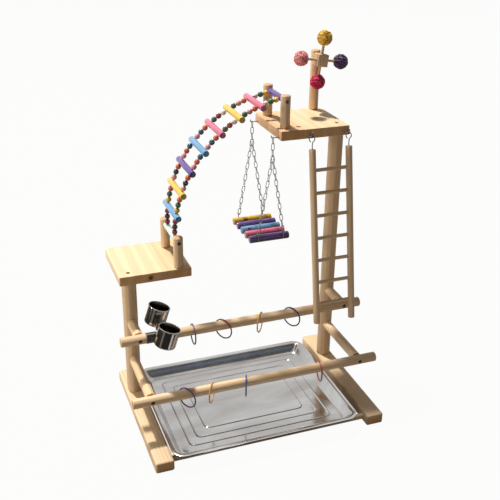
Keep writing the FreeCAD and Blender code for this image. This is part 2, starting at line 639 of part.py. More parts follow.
deck_eyes = []
ladder_eyes = []
rails = []
rail_top = ladder_pivot - V(0, 0, 2 * LADDER_EYE_RADIUS + LADDER_EYE_NECK)
for x in rail_xs:
    deck_foot = V(x, top_deck_front, deck_eye_z)
    deck_eyes.append(screw_eye(deck_foot, V(0, -1, 0), V(1, 0, 0), DECK_EYE_RADIUS, DECK_EYE_NECK))
    bore = rod(EYE_WIRE_DIA / 2 + SCREW_CLEARANCE, deck_foot + V(0, -1, 0),
               deck_foot + V(0, EYE_DEPTH + 1, 0))
    pieces["deck_top"] = pieces["deck_top"].cut(bore)
    top = rail_top + V(x, 0, 0)
    ladder_eyes.append(screw_eye(top, V(0, 0, 1), V(0, 1, 0), LADDER_EYE_RADIUS, LADDER_EYE_NECK))
    rail = rod(RAIL_DIA / 2, top - V(0, 0, RAIL_LENGTH), top, RUNG_CHAMFER)
    rail = rail.cut(rod(EYE_WIRE_DIA / 2 + SCREW_CLEARANCE, top + V(0, 0, 1), top - V(0, 0, EYE_DEPTH + 1)))
    rails.append(rail)
ladder_rungs = []
rung_run = (LADDER_RUNG_COUNT - 1) * LADDER_RUNG_PITCH
first_rung_z = rail_top.z - (RAIL_LENGTH - rung_run) / 2
inner_left = rail_xs[0] + RAIL_DIA / 2 - LADDER_RUNG_TENON
inner_right = rail_xs[1] - RAIL_DIA / 2 + LADDER_RUNG_TENON
for i in range(LADDER_RUNG_COUNT):
    z = first_rung_z - i * LADDER_RUNG_PITCH
    ladder_rungs.append(rod(LADDER_RUNG_DIA / 2, V(inner_left, rail_top.y, z), V(inner_right, rail_top.y, z)))
    socket = rod(LADDER_RUNG_DIA / 2 + SCREW_CLEARANCE, V(inner_left - SEAT_GAP, rail_top.y, z),
                 V(inner_right + SEAT_GAP, rail_top.y, z))
    rails = [rail.cut(socket) for rail in rails]
for name, group in (("ladder_rails", rails), ("ladder_rungs", ladder_rungs), ("ladder_eyes", ladder_eyes)):
    pieces[name] = turned_about(Part.makeCompound(group), ladder_pivot, V(1, 0, 0), -ladder_lean)
pieces["deck_eyes"] = Part.makeCompound(deck_eyes)


# Cups on spring clips that grip the upper perch, one in front of it and one behind
def cup_and_clip(towards, rise, clip_step):
    """A cup on the side of the perch given by towards (-1 front, 1 back), and its clip."""
    outer = CUP_DIA / 2
    inner = outer - CUP_WALL
    ease = CUP_BASE_ROUNDING
    outline = [V(0, 0, 0), V(outer - ease, 0, 0), V(outer, 0, ease), V(outer, 0, CUP_HEIGHT - 2 * CUP_LIP),
               V(outer + CUP_LIP, 0, CUP_HEIGHT - CUP_LIP), V(outer, 0, CUP_HEIGHT), V(inner, 0, CUP_HEIGHT),
               V(inner, 0, ease + CUP_WALL / 2), V(inner - ease + CUP_WALL / 2, 0, CUP_WALL),
               V(0, 0, CUP_WALL), V(0, 0, 0)]
    cup = Part.Face(Part.makePolygon(outline)).revolve(V(0, 0, 0), V(0, 0, 1), 360)
    perch_axis = V(CUPS_X, upper_perch_y, UPPER_PERCH_HEIGHT)
    plate_y = towards * CLIP_STAND_OFF
    cup_y = towards * (CLIP_STAND_OFF + CLIP_SHEET + SEAT_GAP + outer)
    middle = perch_axis + V(0, cup_y, rise)
    cup.translate(middle - V(0, 0, CUP_HEIGHT / 2))
    cup.rotate(middle, V(0, 1, 0), CUP_TILT)
    plate_face = perch_axis.y + plate_y
    rivet_line = V(middle.x, plate_face, middle.z)
    away = V(0, towards, 0)
    cup = cup.cut(rod(RIVET_DIA / 2 + SCREW_CLEARANCE, rivet_line, rivet_line + away * outer))
    # clip: a band round the perch, a web and a plate with a curled top
    band_inner = PERCH_DIA / 2 + RUNNING_CLEARANCE
    band_outer = band_inner + CLIP_SHEET
    clip_x = CUPS_X + clip_step
    start = perch_axis + V(clip_step - CLIP_WIDTH / 2, 0, 0)
    along = V(CLIP_WIDTH, 0, 0)
    band = rod(band_outer, start, start + along).cut(rod(band_inner, start, start + along))
    mouth_half = math.radians(CLIP_MOUTH / 2)
    reach = band_outer * 2
    wedge = flat_face([start, start + V(0, -reach * math.tan(mouth_half), -reach),
                       start + V(0, reach * math.tan(mouth_half), -reach)]).extrude(along)
    band = band.cut(wedge)
    web_length = CLIP_STAND_OFF + CLIP_SHEET / 2
    web_low = start + V(0, min(towards * web_length, 0), CLIP_WEB_RISE)
    web = Part.makeBox(CLIP_WIDTH, web_length, CLIP_SHEET, web_low)
    web = web.cut(rod(band_inner, start, start + along))
    plate_low_z = perch_axis.z + CLIP_WEB_RISE
    plate_top_z = middle.z + CLIP_PLATE_TOP
    plate_left = min(clip_x - CLIP_WIDTH / 2, CUPS_X - CLIP_PLATE_WIDTH)
    plate_right = max(clip_x + CLIP_WIDTH / 2, CUPS_X + CLIP_PLATE_WIDTH)
    plate_back = plate_face if towards > 0 else plate_face - CLIP_SHEET
    plate = Part.makeBox(plate_right - plate_left, CLIP_SHEET, CLIP_PLATE_HEIGHT,
                         V(plate_left, plate_back, plate_low_z))
    tongue = Part.makeBox(CLIP_CURL_WIDTH, CLIP_SHEET, plate_top_z - plate_low_z,
                          V(CUPS_X - CLIP_CURL_WIDTH / 2, plate_back, plate_low_z))
    plate = plate.fuse(tongue)
    curl_y = plate_face - towards * (CLIP_CURL_RADIUS - CLIP_SHEET)
    curl_at = V(CUPS_X - CLIP_CURL_WIDTH / 2, curl_y, plate_top_z)
    curl_along = V(CLIP_CURL_WIDTH, 0, 0)
    curl = rod(CLIP_CURL_RADIUS, curl_at, curl_at + curl_along)
    curl = curl.cut(rod(CLIP_CURL_RADIUS - CLIP_SHEET, curl_at, curl_at + curl_along))
    below = Part.makeBox(CLIP_CURL_WIDTH, 2 * CLIP_CURL_RADIUS + 1, CLIP_CURL_RADIUS + 1,
                         curl_at - V(0, CLIP_CURL_RADIUS + 0.5, CLIP_CURL_RADIUS + 1))
    curl = curl.cut(below)
    clip = band.fuse(web).fuse(plate).fuse(curl).removeSplitter()
    clip = clip.cut(rod(RIVET_DIA / 2 + SCREW_CLEARANCE, rivet_line - away * CLIP_SHEET,
                        rivet_line + away * (CLIP_SHEET * 2)))
    rivet_start = rivet_line - away * (RIVET_HEAD_HEIGHT + SCREW_CLEARANCE)
    inside_wall = rivet_line + away * (CLIP_SHEET + SEAT_GAP + CUP_WALL + 2 * SCREW_CLEARANCE)
    rivet = rod(RIVET_DIA / 2, rivet_start, inside_wall)
    rivet = rivet.fuse(rod(RIVET_HEAD_DIA / 2, rivet_start, rivet_start + away * RIVET_HEAD_HEIGHT))
    rivet = rivet.fuse(rod(RIVET_HEAD_DIA / 2, inside_wall, inside_wall + away * RIVET_HEAD_HEIGHT))
    return cup, Part.makeCompound([clip, rivet.removeSplitter()])


pieces["cup_rear"], pieces["clip_rear"] = cup_and_clip(1, REAR_CUP_RISE, REAR_CLIP_STEP)
pieces["cup_front"], pieces["clip_front"] = cup_and_clip(-1, FRONT_CUP_RISE, FRONT_CLIP_STEP)

# Toy rings, each hung over its perch
ring_middle = (RING_DIA - RING_WIRE) / 2
ring_wire = RING_WIRE / 2
ring_outline = [(ring_middle + ring_wire * math.cos(2 * math.pi * k / RING_WIRE_SIDES),
                 ring_wire * math.sin(2 * math.pi * k / RING_WIRE_SIDES)) for k in range(RING_WIRE_SIDES)]
ring = faceted_turning(ring_outline, RING_SIDES)
perch_axes = {"upper": (upper_perch_y, UPPER_PERCH_HEIGHT), "lower": (lower_perch_y, LOWER_PERCH_HEIGHT)}
ring_drop = ring_middle - ring_wire - PERCH_DIA / 2 - SEAT_GAP
for name, (perch, x, turn) in RINGS.items():
    y, z = perch_axes[perch]
    angle = math.radians(turn)
    pieces[name] = placed(ring, V(x, y, z - ring_drop), V(math.cos(angle), -math.sin(angle), 0))


# Tray: one pressed sheet with a flat rim, sloping walls and three raised frames in its floor
def rounded_outline(inset, z, corner):
    """A rounded rectangle, inset from the tray's outline."""
    left = post_left_x + POST_DIA / 2 + TRAY_FROM_POST + inset
    right = left + TRAY_WIDTH - 2 * inset
    front = post_y - TRAY_FRONT_BEFORE_POST + inset
    back = front + TRAY_DEPTH - 2 * inset
    r = corner
    c = r * (1 - math.sqrt(0.5))
    edges = [
        Part.makeLine(V(left + r, front, z), V(right - r, front, z)),
        Part.Arc(V(right - r, front, z), V(right - c, front + c, z), V(right, front + r, z)).toShape(),
        Part.makeLine(V(right, front + r, z), V(right, back - r, z)),
        Part.Arc(V(right, back - r, z), V(right - c, back - c, z), V(right - r, back, z)).toShape(),
        Part.makeLine(V(right - r, back, z), V(left + r, back, z)),
        Part.Arc(V(left + r, back, z), V(left + c, back - c, z), V(left, back - r, z)).toShape(),
        Part.makeLine(V(left, back - r, z), V(left, front + r, z)),
        Part.Arc(V(left, front + r, z), V(left + c, front + c, z), V(left + r, front, z)).toShape(),
    ]
    return Part.Wire(edges)


def raised(inset, z, height, corner):
    return Part.Face(rounded_outline(inset, z, corner)).extrude(V(0, 0, height))


tray_bottom = stretcher_z + STRETCHER_DIA / 2 + SEAT_GAP
tray_top = tray_bottom + TRAY_HEIGHT
wall_foot = TRAY_RIM + TRAY_SLOPE
body_corner = TRAY_CORNER - TRAY_RIM
pan = Part.makeLoft([rounded_outline(wall_foot, tray_bottom, body_corner),
                     rounded_outline(TRAY_RIM, tray_top - TRAY_SHEET, body_corner)], True, True)
tray = pan.fuse(raised(0, tray_top - TRAY_SHEET, TRAY_SHEET, TRAY_CORNER))
hollow_foot = wall_foot + TRAY_SHEET
hollow_top = TRAY_RIM + TRAY_SHEET
hollow = Part.makeLoft([rounded_outline(hollow_foot, tray_bottom + TRAY_SHEET, body_corner - TRAY_SHEET),
                        rounded_outline(hollow_top, tray_top, body_corner - TRAY_SHEET)], True, True)
tray = tray.cut(hollow)
rib_base = tray_bottom + TRAY_SHEET * 0.5
for inset in TRAY_RIB_INSETS:
    rib_corner = body_corner
    rib = raised(inset, rib_base, TRAY_SHEET * 0.5 + TRAY_RIB_HEIGHT, rib_corner)
    rib = rib.cut(raised(inset + TRAY_RIB_WIDTH, rib_base, TRAY_SHEET + TRAY_RIB_HEIGHT,
                         rib_corner - TRAY_RIB_WIDTH))
    tray = tray.fuse(rib)
pieces["tray"] = tray.removeSplitter()

# Screws that hold it together
for x, foot, post, deck, deck_top in ((post_left_x, "foot_left", "post_left", "deck_side", SIDE_DECK_TOP),
                                      (post_right_x, "foot_right", "post_right", "deck_top", TOP_DECK_TOP)):
    fasten([foot, post], V(x, post_y, 0), V(0, 0, 1), FOOT_HEIGHT + SCREW_GRIP)
    fasten([deck, post], V(x, post_y, deck_top), V(0, 0, -1), DECK_THICKNESS + SCREW_GRIP)
    for perch, perch_y, z in (("perch_upper", upper_perch_y, UPPER_PERCH_HEIGHT),
                              ("perch_lower", lower_perch_y, LOWER_PERCH_HEIGHT)):
        fasten([perch, "arms"], V(x, perch_y - PERCH_DIA / 2, z), V(0, 1, 0), PERCH_DIA + SCREW_GRIP)
        fasten([post, "arms"], V(x, post_y + POST_DIA / 2, z), V(0, -1, 0), POST_DIA + SCREW_GRIP)
for foot_at, side in peg_places:
    on_top = foot_at.z == TOP_DECK_TOP
    deck = "deck_top" if on_top else "deck_side"
    rung = "rungs_" + (RUNG_COLOURS[0] if on_top else RUNG_COLOURS[-1])
    fasten([deck, "bridge_pegs"], foot_at - V(0, 0, DECK_THICKNESS), V(0, 0, 1), DECK_THICKNESS + SCREW_GRIP)
    screw_at = foot_at + V(0, side * PEG_DIA / 2, PEG_HEIGHT - PEG_SCREW_BELOW_TOP)
    fasten(["bridge_pegs", rung], screw_at, V(0, -side, 0), PEG_DIA + SCREW_GRIP / 2)
toy_screw_at = toy_post_at - V(0, 0, DECK_THICKNESS)
fasten(["deck_top", "toy_post"], toy_screw_at, V(0, 0, 1), DECK_THICKNESS + SCREW_GRIP)
pieces["screws"] = Part.makeCompound(screws)

# The origin goes under the middle of the whole stand
middle_x = Part.makeCompound(list(pieces.values())).BoundBox.Center.x
for name, shape in pieces.items():
    shape.translate(V(-middle_x, 0, 0))
    shape.exportStep("parts/" + name + ".step")
print(len(pieces), "pieces; moved", round(middle_x, 3), "to the left; ladder leans", round(ladder_lean, 3))
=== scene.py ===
import math
import random

import bmesh
import bpy
from mathutils import Matrix, Vector


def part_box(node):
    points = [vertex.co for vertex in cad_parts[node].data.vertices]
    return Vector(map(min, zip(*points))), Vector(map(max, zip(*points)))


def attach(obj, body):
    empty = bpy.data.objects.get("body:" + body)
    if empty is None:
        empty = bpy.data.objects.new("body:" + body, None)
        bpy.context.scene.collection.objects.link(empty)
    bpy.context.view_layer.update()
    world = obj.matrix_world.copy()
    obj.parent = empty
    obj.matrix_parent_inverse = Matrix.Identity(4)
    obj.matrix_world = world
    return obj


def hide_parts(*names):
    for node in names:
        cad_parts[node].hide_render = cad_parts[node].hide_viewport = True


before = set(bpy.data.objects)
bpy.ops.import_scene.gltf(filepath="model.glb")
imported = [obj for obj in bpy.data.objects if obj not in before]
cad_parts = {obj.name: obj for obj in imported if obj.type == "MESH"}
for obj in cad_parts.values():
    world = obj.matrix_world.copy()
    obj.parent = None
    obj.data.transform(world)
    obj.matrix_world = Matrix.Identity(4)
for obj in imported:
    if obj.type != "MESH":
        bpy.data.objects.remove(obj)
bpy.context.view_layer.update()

# ---------------------------------------------------------------- feet
# Two feet of planed pine, laid front to back under the posts. Their edges are
# eased with a router, and each has two blind holes for the stretchers.
FOOT_EDGE = 0.004


def linear(red, green, blue):
    """A colour as it looks, 0 to 255, as the shader wants it."""
    channels = [c / 255 for c in (red, green, blue)]
    return [c / 12.92 if c <= 0.04045 else ((c + 0.055) / 1.055) ** 2.4 for c in channels] + [1.0]


def material_nodes(name):
    """A new material with its shader, and short ways to add and join nodes."""
    material = bpy.data.materials.new(name)
    material.use_nodes = True
    tree = material.node_tree
    shader = tree.nodes["Principled BSDF"]

    def add(kind, **values):
        node = tree.nodes.new("ShaderNode" + kind)
        for key, value in values.items():
            if hasattr(node, key) and key not in node.inputs:
                setattr(node, key, value)
            else:
                node.inputs[key].default_value = value
        return node

    def join(source, target):
        tree.links.new(source, target)

    return material, shader, add, join


def ramp(add, join, source, stops):
    """A colour ramp over (place, colour) stops, fed by source."""
    node = add("ValToRGB")
    while len(node.color_ramp.elements) < len(stops):
        node.color_ramp.elements.new(0.5)
    for element, (place, colour) in zip(node.color_ramp.elements, stops):
        element.position = place
        element.color = colour
    join(source, node.inputs["Fac"])
    return node.outputs["Color"]


def mix(add, join, kind, amount, first, second):
    """Two colours mixed; amount and second may be values or sockets."""
    node = add("Mix", data_type="RGBA", blend_type=kind)
    for socket, value in ((node.inputs[0], amount), (node.inputs[6], first), (node.inputs[7], second)):
        if isinstance(value, bpy.types.NodeSocket):
            join(value, socket)
        else:
            socket.default_value = value
    return node.outputs[2]


def bump(add, join, shader, height, strength, distance):
    node = add("Bump", Strength=strength, Distance=distance)
    join(height, node.inputs["Height"])
    join(node.outputs["Normal"], shader.inputs["Normal"])


GRAIN_TURN = {"x": (0, 0, 0), "y": (0, 0, math.pi / 2), "z": (0, math.pi / 2, 0)}


def pine(name, along, heart=(0.0, 0.031, -0.017), tone=1.0, knots=0.0, knot_at=None, planks=(), rings=46.0, figure=0.6):
    """Clear-lacquered pine: growth rings round a heart line, long fibres, knots, glued strips."""
    material, shader, add, join = material_nodes(name)
    place = add("TexCoord").outputs["Object"]
    turn = add("Mapping")
    turn.inputs["Rotation"].default_value = GRAIN_TURN[along]
    turn.inputs["Location"].default_value = heart
    join(place, turn.inputs["Vector"])
    stretch = add("Mapping")
    stretch.inputs["Scale"].default_value = (0.10, 1, 1)
    join(turn.outputs["Vector"], stretch.inputs["Vector"])
    grain = add("TexWave", wave_type="RINGS", rings_direction="X", Scale=rings, Distortion=5.0, Detail=2.0)
    grain.inputs["Detail Scale"].default_value = 0.9
    join(stretch.outputs["Vector"], grain.inputs["Vector"])
    pale = linear(236 * tone, 208 * tone, 171 * tone)
    honey = linear(231 * tone, 200 * tone, 161 * tone)
    amber = [dark * figure + light * (1 - figure)
             for dark, light in zip(linear(218 * tone, 180 * tone, 137 * tone), honey)]
    colour = ramp(add, join, grain.outputs["Fac"], ((0.0, pale), (0.55, honey), (0.93, amber), (1.0, honey)))
    long_fibres = add("Mapping")
    long_fibres.inputs["Scale"].default_value = (9, 620, 620)
    join(turn.outputs["Vector"], long_fibres.inputs["Vector"])
    fibres = add("TexNoise", Scale=1.0, Detail=4.0, Roughness=0.6)
    join(long_fibres.outputs["Vector"], fibres.inputs["Vector"])
    fibre_tone = ramp(add, join, fibres.outputs["Fac"], ((0.30, (0.84, 0.79, 0.72, 1)), (0.58, (1, 1, 1, 1))))
    colour = mix(add, join, "MULTIPLY", 0.35, colour, fibre_tone)
    cloud = add("TexNoise", Scale=9.0, Detail=2.0)
    join(stretch.outputs["Vector"], cloud.inputs["Vector"])
    cloud_tone = ramp(add, join, cloud.outputs["Fac"], ((0.3, (0.88, 0.83, 0.75, 1)), (0.7, (1, 1, 1, 1))))
    colour = mix(add, join, "MULTIPLY", 0.45, colour, cloud_tone)
    for seam, wood in planks:
        # each glued plank left of its seam takes the lacquer a little differently
        across = add("SeparateXYZ")
        join(place, across.inputs["Vector"])
        side = add("Math", operation="GREATER_THAN" if wood[3] > 0 else "LESS_THAN")
        side.inputs[1].default_value = seam
        join(across.outputs["X"], side.inputs[0])
        colour = mix(add, join, "MULTIPLY", side.outputs["Value"], colour, (*wood[:3], 1))
    if knot_at:
        away = add("VectorMath", operation="DISTANCE")
        away.inputs[1].default_value = knot_at
        join(place, away.inputs[0])
        ringed = add("Math", operation="MULTIPLY_ADD")
        ringed.inputs[1].default_value = 0.0016
        join(fibres.outputs["Fac"], ringed.inputs[0])
        join(away.outputs["Value"], ringed.inputs[2])
        knot = ramp(add, join, ringed.outputs["Value"],
                    ((0.0, linear(96, 58, 30)), (0.0028, linear(150, 96, 54)), (0.0046, linear(176, 122, 74)),
                     (0.0066, (1, 1, 1, 1))))
        colour = mix(add, join, "MULTIPLY", 1.0, colour, knot)
    if knots:
        squeezed = add("Mapping")
        squeezed.inputs["Scale"].default_value = (9, 16, 16)
        join(turn.outputs["Vector"], squeezed.inputs["Vector"])
        cells = add("TexVoronoi", Scale=knots)
        join(squeezed.outputs["Vector"], cells.inputs["Vector"])
        knot_tone = ramp(add, join, cells.outputs["Distance"],
                         ((0.0, linear(120, 74, 40)), (0.055, linear(168, 112, 66)), (0.10, (1, 1, 1, 1))))
        colour = mix(add, join, "MULTIPLY", 0.8, colour, knot_tone)
    # the cut ends drink more lacquer and look darker
    facing = add("SeparateXYZ")
    join(add("TexCoord").outputs["Normal"], facing.inputs["Vector"])
    end = add("Math", operation="ABSOLUTE")
    join(facing.outputs["xyz".index(along)], end.inputs[0])
    end_mask = ramp(add, join, end.outputs["Value"], ((0.80, (0, 0, 0, 1)), (0.93, (1, 1, 1, 1))))
    end_colour = mix(add, join, "MULTIPLY", 1.0, colour, linear(236, 216, 190))
    colour = mix(add, join, "MIX", end_mask, colour, end_colour)
    join(colour, shader.inputs["Base Color"])
    rough = ramp(add, join, fibres.outputs["Fac"], ((0.3, (0.62, 0.62, 0.62, 1)), (0.7, (0.46, 0.46, 0.46, 1))))
    join(rough, shader.inputs["Roughness"])
    shader.inputs["Specular IOR Level"].default_value = 0.35
    bump(add, join, shader, fibres.outputs["Fac"], 0.12, 0.0003)
    return material


def rounded_block(low, high, edge):
    """A block between two corners with rounded edges, as (corners, faces)."""
    work = bmesh.new()
    bmesh.ops.create_cube(work, size=1)
    size = high - low
    for v in work.verts:
        v.co = Vector([(low[i] + high[i]) / 2 + v.co[i] * size[i] for i in range(3)])
    bmesh.ops.bevel(work, geom=work.edges[:], offset=edge, segments=4, profile=0.5, affect="EDGES")
    work.verts.index_update()
    shape = ([v.co.copy() for v in work.verts], [[v.index for v in f.verts] for f in work.faces])
    work.free()
    return shape


def together(shapes):
    """Several shapes as one."""
    corners = []
    faces = []
    for shape_corners, shape_faces in shapes:
        first = len(corners)
        corners.extend(shape_corners)
        faces.extend([[first + i for i in face] for face in shape_faces])
    return corners, faces


def piece(name, shape, material, body, nodes=(), crease=32.0):
    """Make the mesh object, smooth but for its creases, and tie it to the frame."""
    mesh = bpy.data.meshes.new(name)
    mesh.from_pydata([tuple(c) for c in shape[0]], [], shape[1])
    work = bmesh.new()
    work.from_mesh(mesh)
    bmesh.ops.recalc_face_normals(work, faces=work.faces)
    work.to_mesh(mesh)
    work.free()
    mesh.shade_smooth()
    mesh.set_sharp_from_angle(angle=math.radians(crease))
    mesh.materials.append(material)
    made = bpy.data.objects.new(name, mesh)
    bpy.context.scene.collection.objects.link(made)
    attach(made, body)
    if nodes:
        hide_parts(*nodes)
    return made


for side, heart in (("left", (0.3, 0.052, -0.021)), ("right", (1.1, -0.041, 0.013))):
    low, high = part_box("foot_" + side)
    foot_pine = pine("pine_foot_" + side, "y", heart, 0.97, knots=0.9)
    piece("foot_" + side + "_planed", rounded_block(low, high, FOOT_EDGE), foot_pine, "stand",
          ["foot_" + side])

# ---------------------------------------------------------------- dowels
# Round pine stock turned on a dowelling machine: two stretchers between the
# feet, two posts, two perches, the toy post and the four pegs of the bridge.
# Their ends are cut square and lightly sanded.
DOWEL_SIDES = 56
END_SANDING = 0.0012


def turned(profile, sides):
    """A profile of (radius, height) points turned round Z, as (corners, faces)."""
    corners = []
    rows = []
    for radius, height in profile:
        if radius < 1e-6:
            rows.append([len(corners)])
            corners.append(Vector((0, 0, height)))
            continue
        rows.append(list(range(len(corners), len(corners) + sides)))
        for i in range(sides):
            angle = 2 * math.pi * i / sides
            corners.append(Vector((radius * math.cos(angle), radius * math.sin(angle), height)))
    faces = []
    for lower, upper in zip(rows, rows[1:]):
        for i in range(sides):
            quad = [lower[i % len(lower)], lower[(i + 1) % len(lower)],
                    upper[(i + 1) % len(upper)], upper[i % len(upper)]]
            face = list(dict.fromkeys(quad))
            if len(face) > 2:
                faces.append(face)
    return corners, faces


def stood(shape, at, way):
    """The shape moved to a place, its own Z turned along way."""
    turn = Vector((0, 0, 1)).rotation_difference(way).to_matrix()
    return [turn @ c + at for c in shape[0]], shape[1]


def dowel(start, end, radius, sanding=END_SANDING, sides=DOWEL_SIDES):
    """A round bar with softly sanded ends."""
    length = (end - start).length
    profile = [(0, 0), (radius - sanding, 0)]
    profile += [(radius - sanding * (1 - math.sin(a)), sanding * (1 - math.cos(a)))
                for a in (math.pi / 6, math.pi / 3, math.pi / 2)]
    profile += [(r, length - h) for r, h in reversed(profile)]
    return stood(turned(profile, sides), start, (end - start).normalized())


def dowel_of(node):
    """The dowel that fills a CAD node's box, along the box's longest side."""
    low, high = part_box(node)
    size = high - low
    long_side = max(range(3), key=lambda i: size[i])
    middle = (low + high) / 2
    start = middle.copy()
    end = middle.copy()
    start[long_side] = low[long_side]
    end[long_side] = high[long_side]
    across = [size[i] for i in range(3) if i != long_side]
    return dowel(start, end, min(across) / 2)


HEAD_RADIUS = 0.00415
HEAD_SINK = 0.0012


def counterbored(made, places):
    """Cut the sunk seat of each screw head into a wooden piece."""
    cutters = []
    for at, way in places:
        cutters.append(stood(turned([(0, -0.002), (HEAD_RADIUS, -0.002), (HEAD_RADIUS, HEAD_SINK),
                                     (0.0019, HEAD_SINK + 0.0024), (0, HEAD_SINK + 0.0024)], 28), at, way))
    mesh = bpy.data.meshes.new("screw_seats")
    corners, faces = together(cutters)
    mesh.from_pydata([tuple(c) for c in corners], [], faces)
    cutter = bpy.data.objects.new("screw_seats", mesh)
    bpy.context.scene.collection.objects.link(cutter)
    cut = made.modifiers.new("screw_seats", "BOOLEAN")
    cut.object = cutter
    cut.solver = "EXACT"
    bpy.context.view_layer.update()
    finished = bpy.data.meshes.new_from_object(made.evaluated_get(bpy.context.evaluated_depsgraph_get()))
    made.modifiers.clear()
    made.data = finished
    finished.set_sharp_from_angle(angle=math.radians(32))
    bpy.data.objects.remove(cutter)


screw_places = []
post_left_low, post_left_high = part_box("post_left")
post_right_low, post_right_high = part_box("post_right")
post_middles = ((post_left_low + post_left_high) / 2, (post_right_low + post_right_high) / 2)
perch_places = []
for perch in ("perch_upper", "perch_lower"):
    low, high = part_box(perch)
    perch_places.append(((low + high) / 2, (high.z - low.z) / 2))

for node, along, heart in (("post_left", "z", (0.2, 0.019, 0.022)), ("post_right", "z", (0.7, -0.024, 0.012)),
                           ("perch_upper", "x", (0.4, 0.016, 0.020)), ("perch_lower", "x", (0.9, -0.013, -0.024)),
                           ("toy_post", "z", (0.5, 0.020, -0.014))):
    made = piece(node + "_turned", dowel_of(node), pine("pine_" + node, along, heart, 1.0), "stand", [node])
    low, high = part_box(node)
    middle = (low + high) / 2
    seats = []
    if node.startswith("post_"):
        for perch_middle, perch_radius in perch_places:
            seats.append((Vector((middle.x, high.y, perch_middle.z)), Vector((0, -1, 0))))
    if node.startswith("perch_"):
        for post_middle in post_middles:
            seats.append((Vector((post_middle.x, low.y, middle.z)), Vector((0, 1, 0))))
    if seats:
        counterbored(made, seats)
        screw_places.extend(seats)

stretcher_low, stretcher_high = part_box("stretchers")
stretcher_radius = (stretcher_high.z - stretcher_low.z) / 2
stretchers = []
for y in (stretcher_low.y + stretcher_radius, stretcher_high.y - stretcher_radius):
    z = stretcher_low.z + stretcher_radius
    stretchers.append(dowel(Vector((stretcher_low.x, y, z)), Vector((stretcher_high.x, y, z)), stretcher_radius))
piece("stretchers_turned", together(stretchers), pine("pine_stretchers", "x", (0.1, 0.012, 0.018), 0.96),
      "stand", ["stretchers"])

PEG_RADIUS = 0.010
PEG_HEIGHT = 0.066
peg_low, peg_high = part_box("bridge_pegs")
top_deck_low, top_deck_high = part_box("deck_top")
side_deck_low, side_deck_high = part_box("deck_side")
bridge_y = (peg_low.y + peg_high.y) / 2
pegs = []
for x, base, spread in ((peg_low.x + PEG_RADIUS, side_deck_high.z, 0.104),
                        (peg_high.x - PEG_RADIUS, top_deck_high.z, 0.096)):
    for side in (-1, 1):
        foot = Vector((x, bridge_y + side * spread / 2, base))
        pegs.append(dowel(foot, foot + Vector((0, 0, PEG_HEIGHT)), PEG_RADIUS, 0.0018))
PEG_SCREW_DROP = 0.011
made = piece("bridge_pegs_turned", together(pegs), pine("pine_pegs", "z", (0.8, -0.013, -0.019), 0.97),
             "stand", ["bridge_pegs"])
seats = []
for x, base, spread in ((peg_low.x + PEG_RADIUS, side_deck_high.z, 0.104),
                        (peg_high.x - PEG_RADIUS, top_deck_high.z, 0.096)):
    for side in (-1, 1):
        seats.append((Vector((x, bridge_y + side * (spread / 2 + PEG_RADIUS), base + PEG_HEIGHT - PEG_SCREW_DROP)),
                      Vector((0, -side, 0))))
counterbored(made, seats)
screw_places.extend(seats)

# ---------------------------------------------------------------- arms
# Four short dowels that carry the perches in front of the posts. Both ends
# are coped to fit the round of the post and the perch, and screwed.
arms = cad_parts["arms"]
arms.data.materials.clear()
arms.data.materials.append(pine("pine_arms", "y", (0.6, 0.014, 0.021), 1.0))

# ---------------------------------------------------------------- decks
# Two square boards of edge-glued pine. The faces are planed, the arrises are
# broken with sandpaper, and each board is held by one screw into its post.
DECK_EDGE = 0.0015
for side, heart in (("side", (0.5, 0.083, -0.262)), ("top", (1.4, -0.021, -0.545))):
    low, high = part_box("deck_" + side)
    # one knot shows in the front edge of the side deck, and one in the top of the other
    knot = (low.x + 0.064, low.y, high.z - 0.010) if side == "side" else (high.x - 0.104, low.y + 0.022, high.z)
    # the plank left or right of the seam is redder than the rest
    seam = (low.x + 0.098, (0.93, 0.88, 0.82, 1)) if side == "side" else (low.x + 0.050, (0.86, 0.75, 0.66, -1))
    made = piece("deck_" + side + "_planed", rounded_block(low, high, DECK_EDGE),
                 pine("pine_deck_" + side, "y", heart, 1.03, knot_at=knot, planks=(seam,), rings=12.0, figure=0.3),
                 "stand",
                 ["deck_" + side])
    post_middle = post_middles[0] if side == "side" else post_middles[1]
    seats = [(Vector((post_middle.x, post_middle.y, high.z)), Vector((0, 0, -1)))]
    pegs_x = peg_low.x + PEG_RADIUS if side == "side" else peg_high.x - PEG_RADIUS
    spread = 0.104 if side == "side" else 0.096
    for end in (-1, 1):
        seats.append((Vector((pegs_x, bridge_y + end * spread / 2, low.z)), Vector((0, 0, 1))))
    if side == "top":
        toy_low, toy_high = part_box("toy_post")
        seats.append((Vector(((toy_low.x + toy_high.x) / 2, (toy_low.y + toy_high.y) / 2, low.z)),
                      Vector((0, 0, 1))))
    counterbored(made, seats)
    screw_places.extend(seats)

# ---------------------------------------------------------------- bridge wires
# Two lengths of stiff drawn wire, bent to one even arch, that carry the beads
# and rungs between the pegs of the side deck and those of the top deck.
BRIDGE_RISE = 0.068
BRIDGE_SPREAD = 0.009
STRING_OFFSET = 0.0275
RUNG_COUNT = 9
RUNG_RADIUS = 0.0065
WIRE_RADIUS = 0.0008
WIRE_END = 0.010

low_end = Vector((peg_low.x + PEG_RADIUS, bridge_y, side_deck_high.z + PEG_HEIGHT - PEG_SCREW_DROP))
high_end = Vector((peg_high.x - PEG_RADIUS, bridge_y, top_deck_high.z + PEG_HEIGHT - PEG_SCREW_DROP))
chord = high_end - low_end
chord_way = chord.normalized()
bulge = Vector((-chord_way.z, 0, chord_way.x))
sagitta = math.hypot(BRIDGE_RISE, BRIDGE_SPREAD)
arch_radius = (chord.length ** 2 / 4 + sagitta ** 2) / (2 * sagitta)
half_angle = math.asin(chord.length / 2 / arch_radius)
span_angle = 2 * half_angle / (RUNG_COUNT - 1)


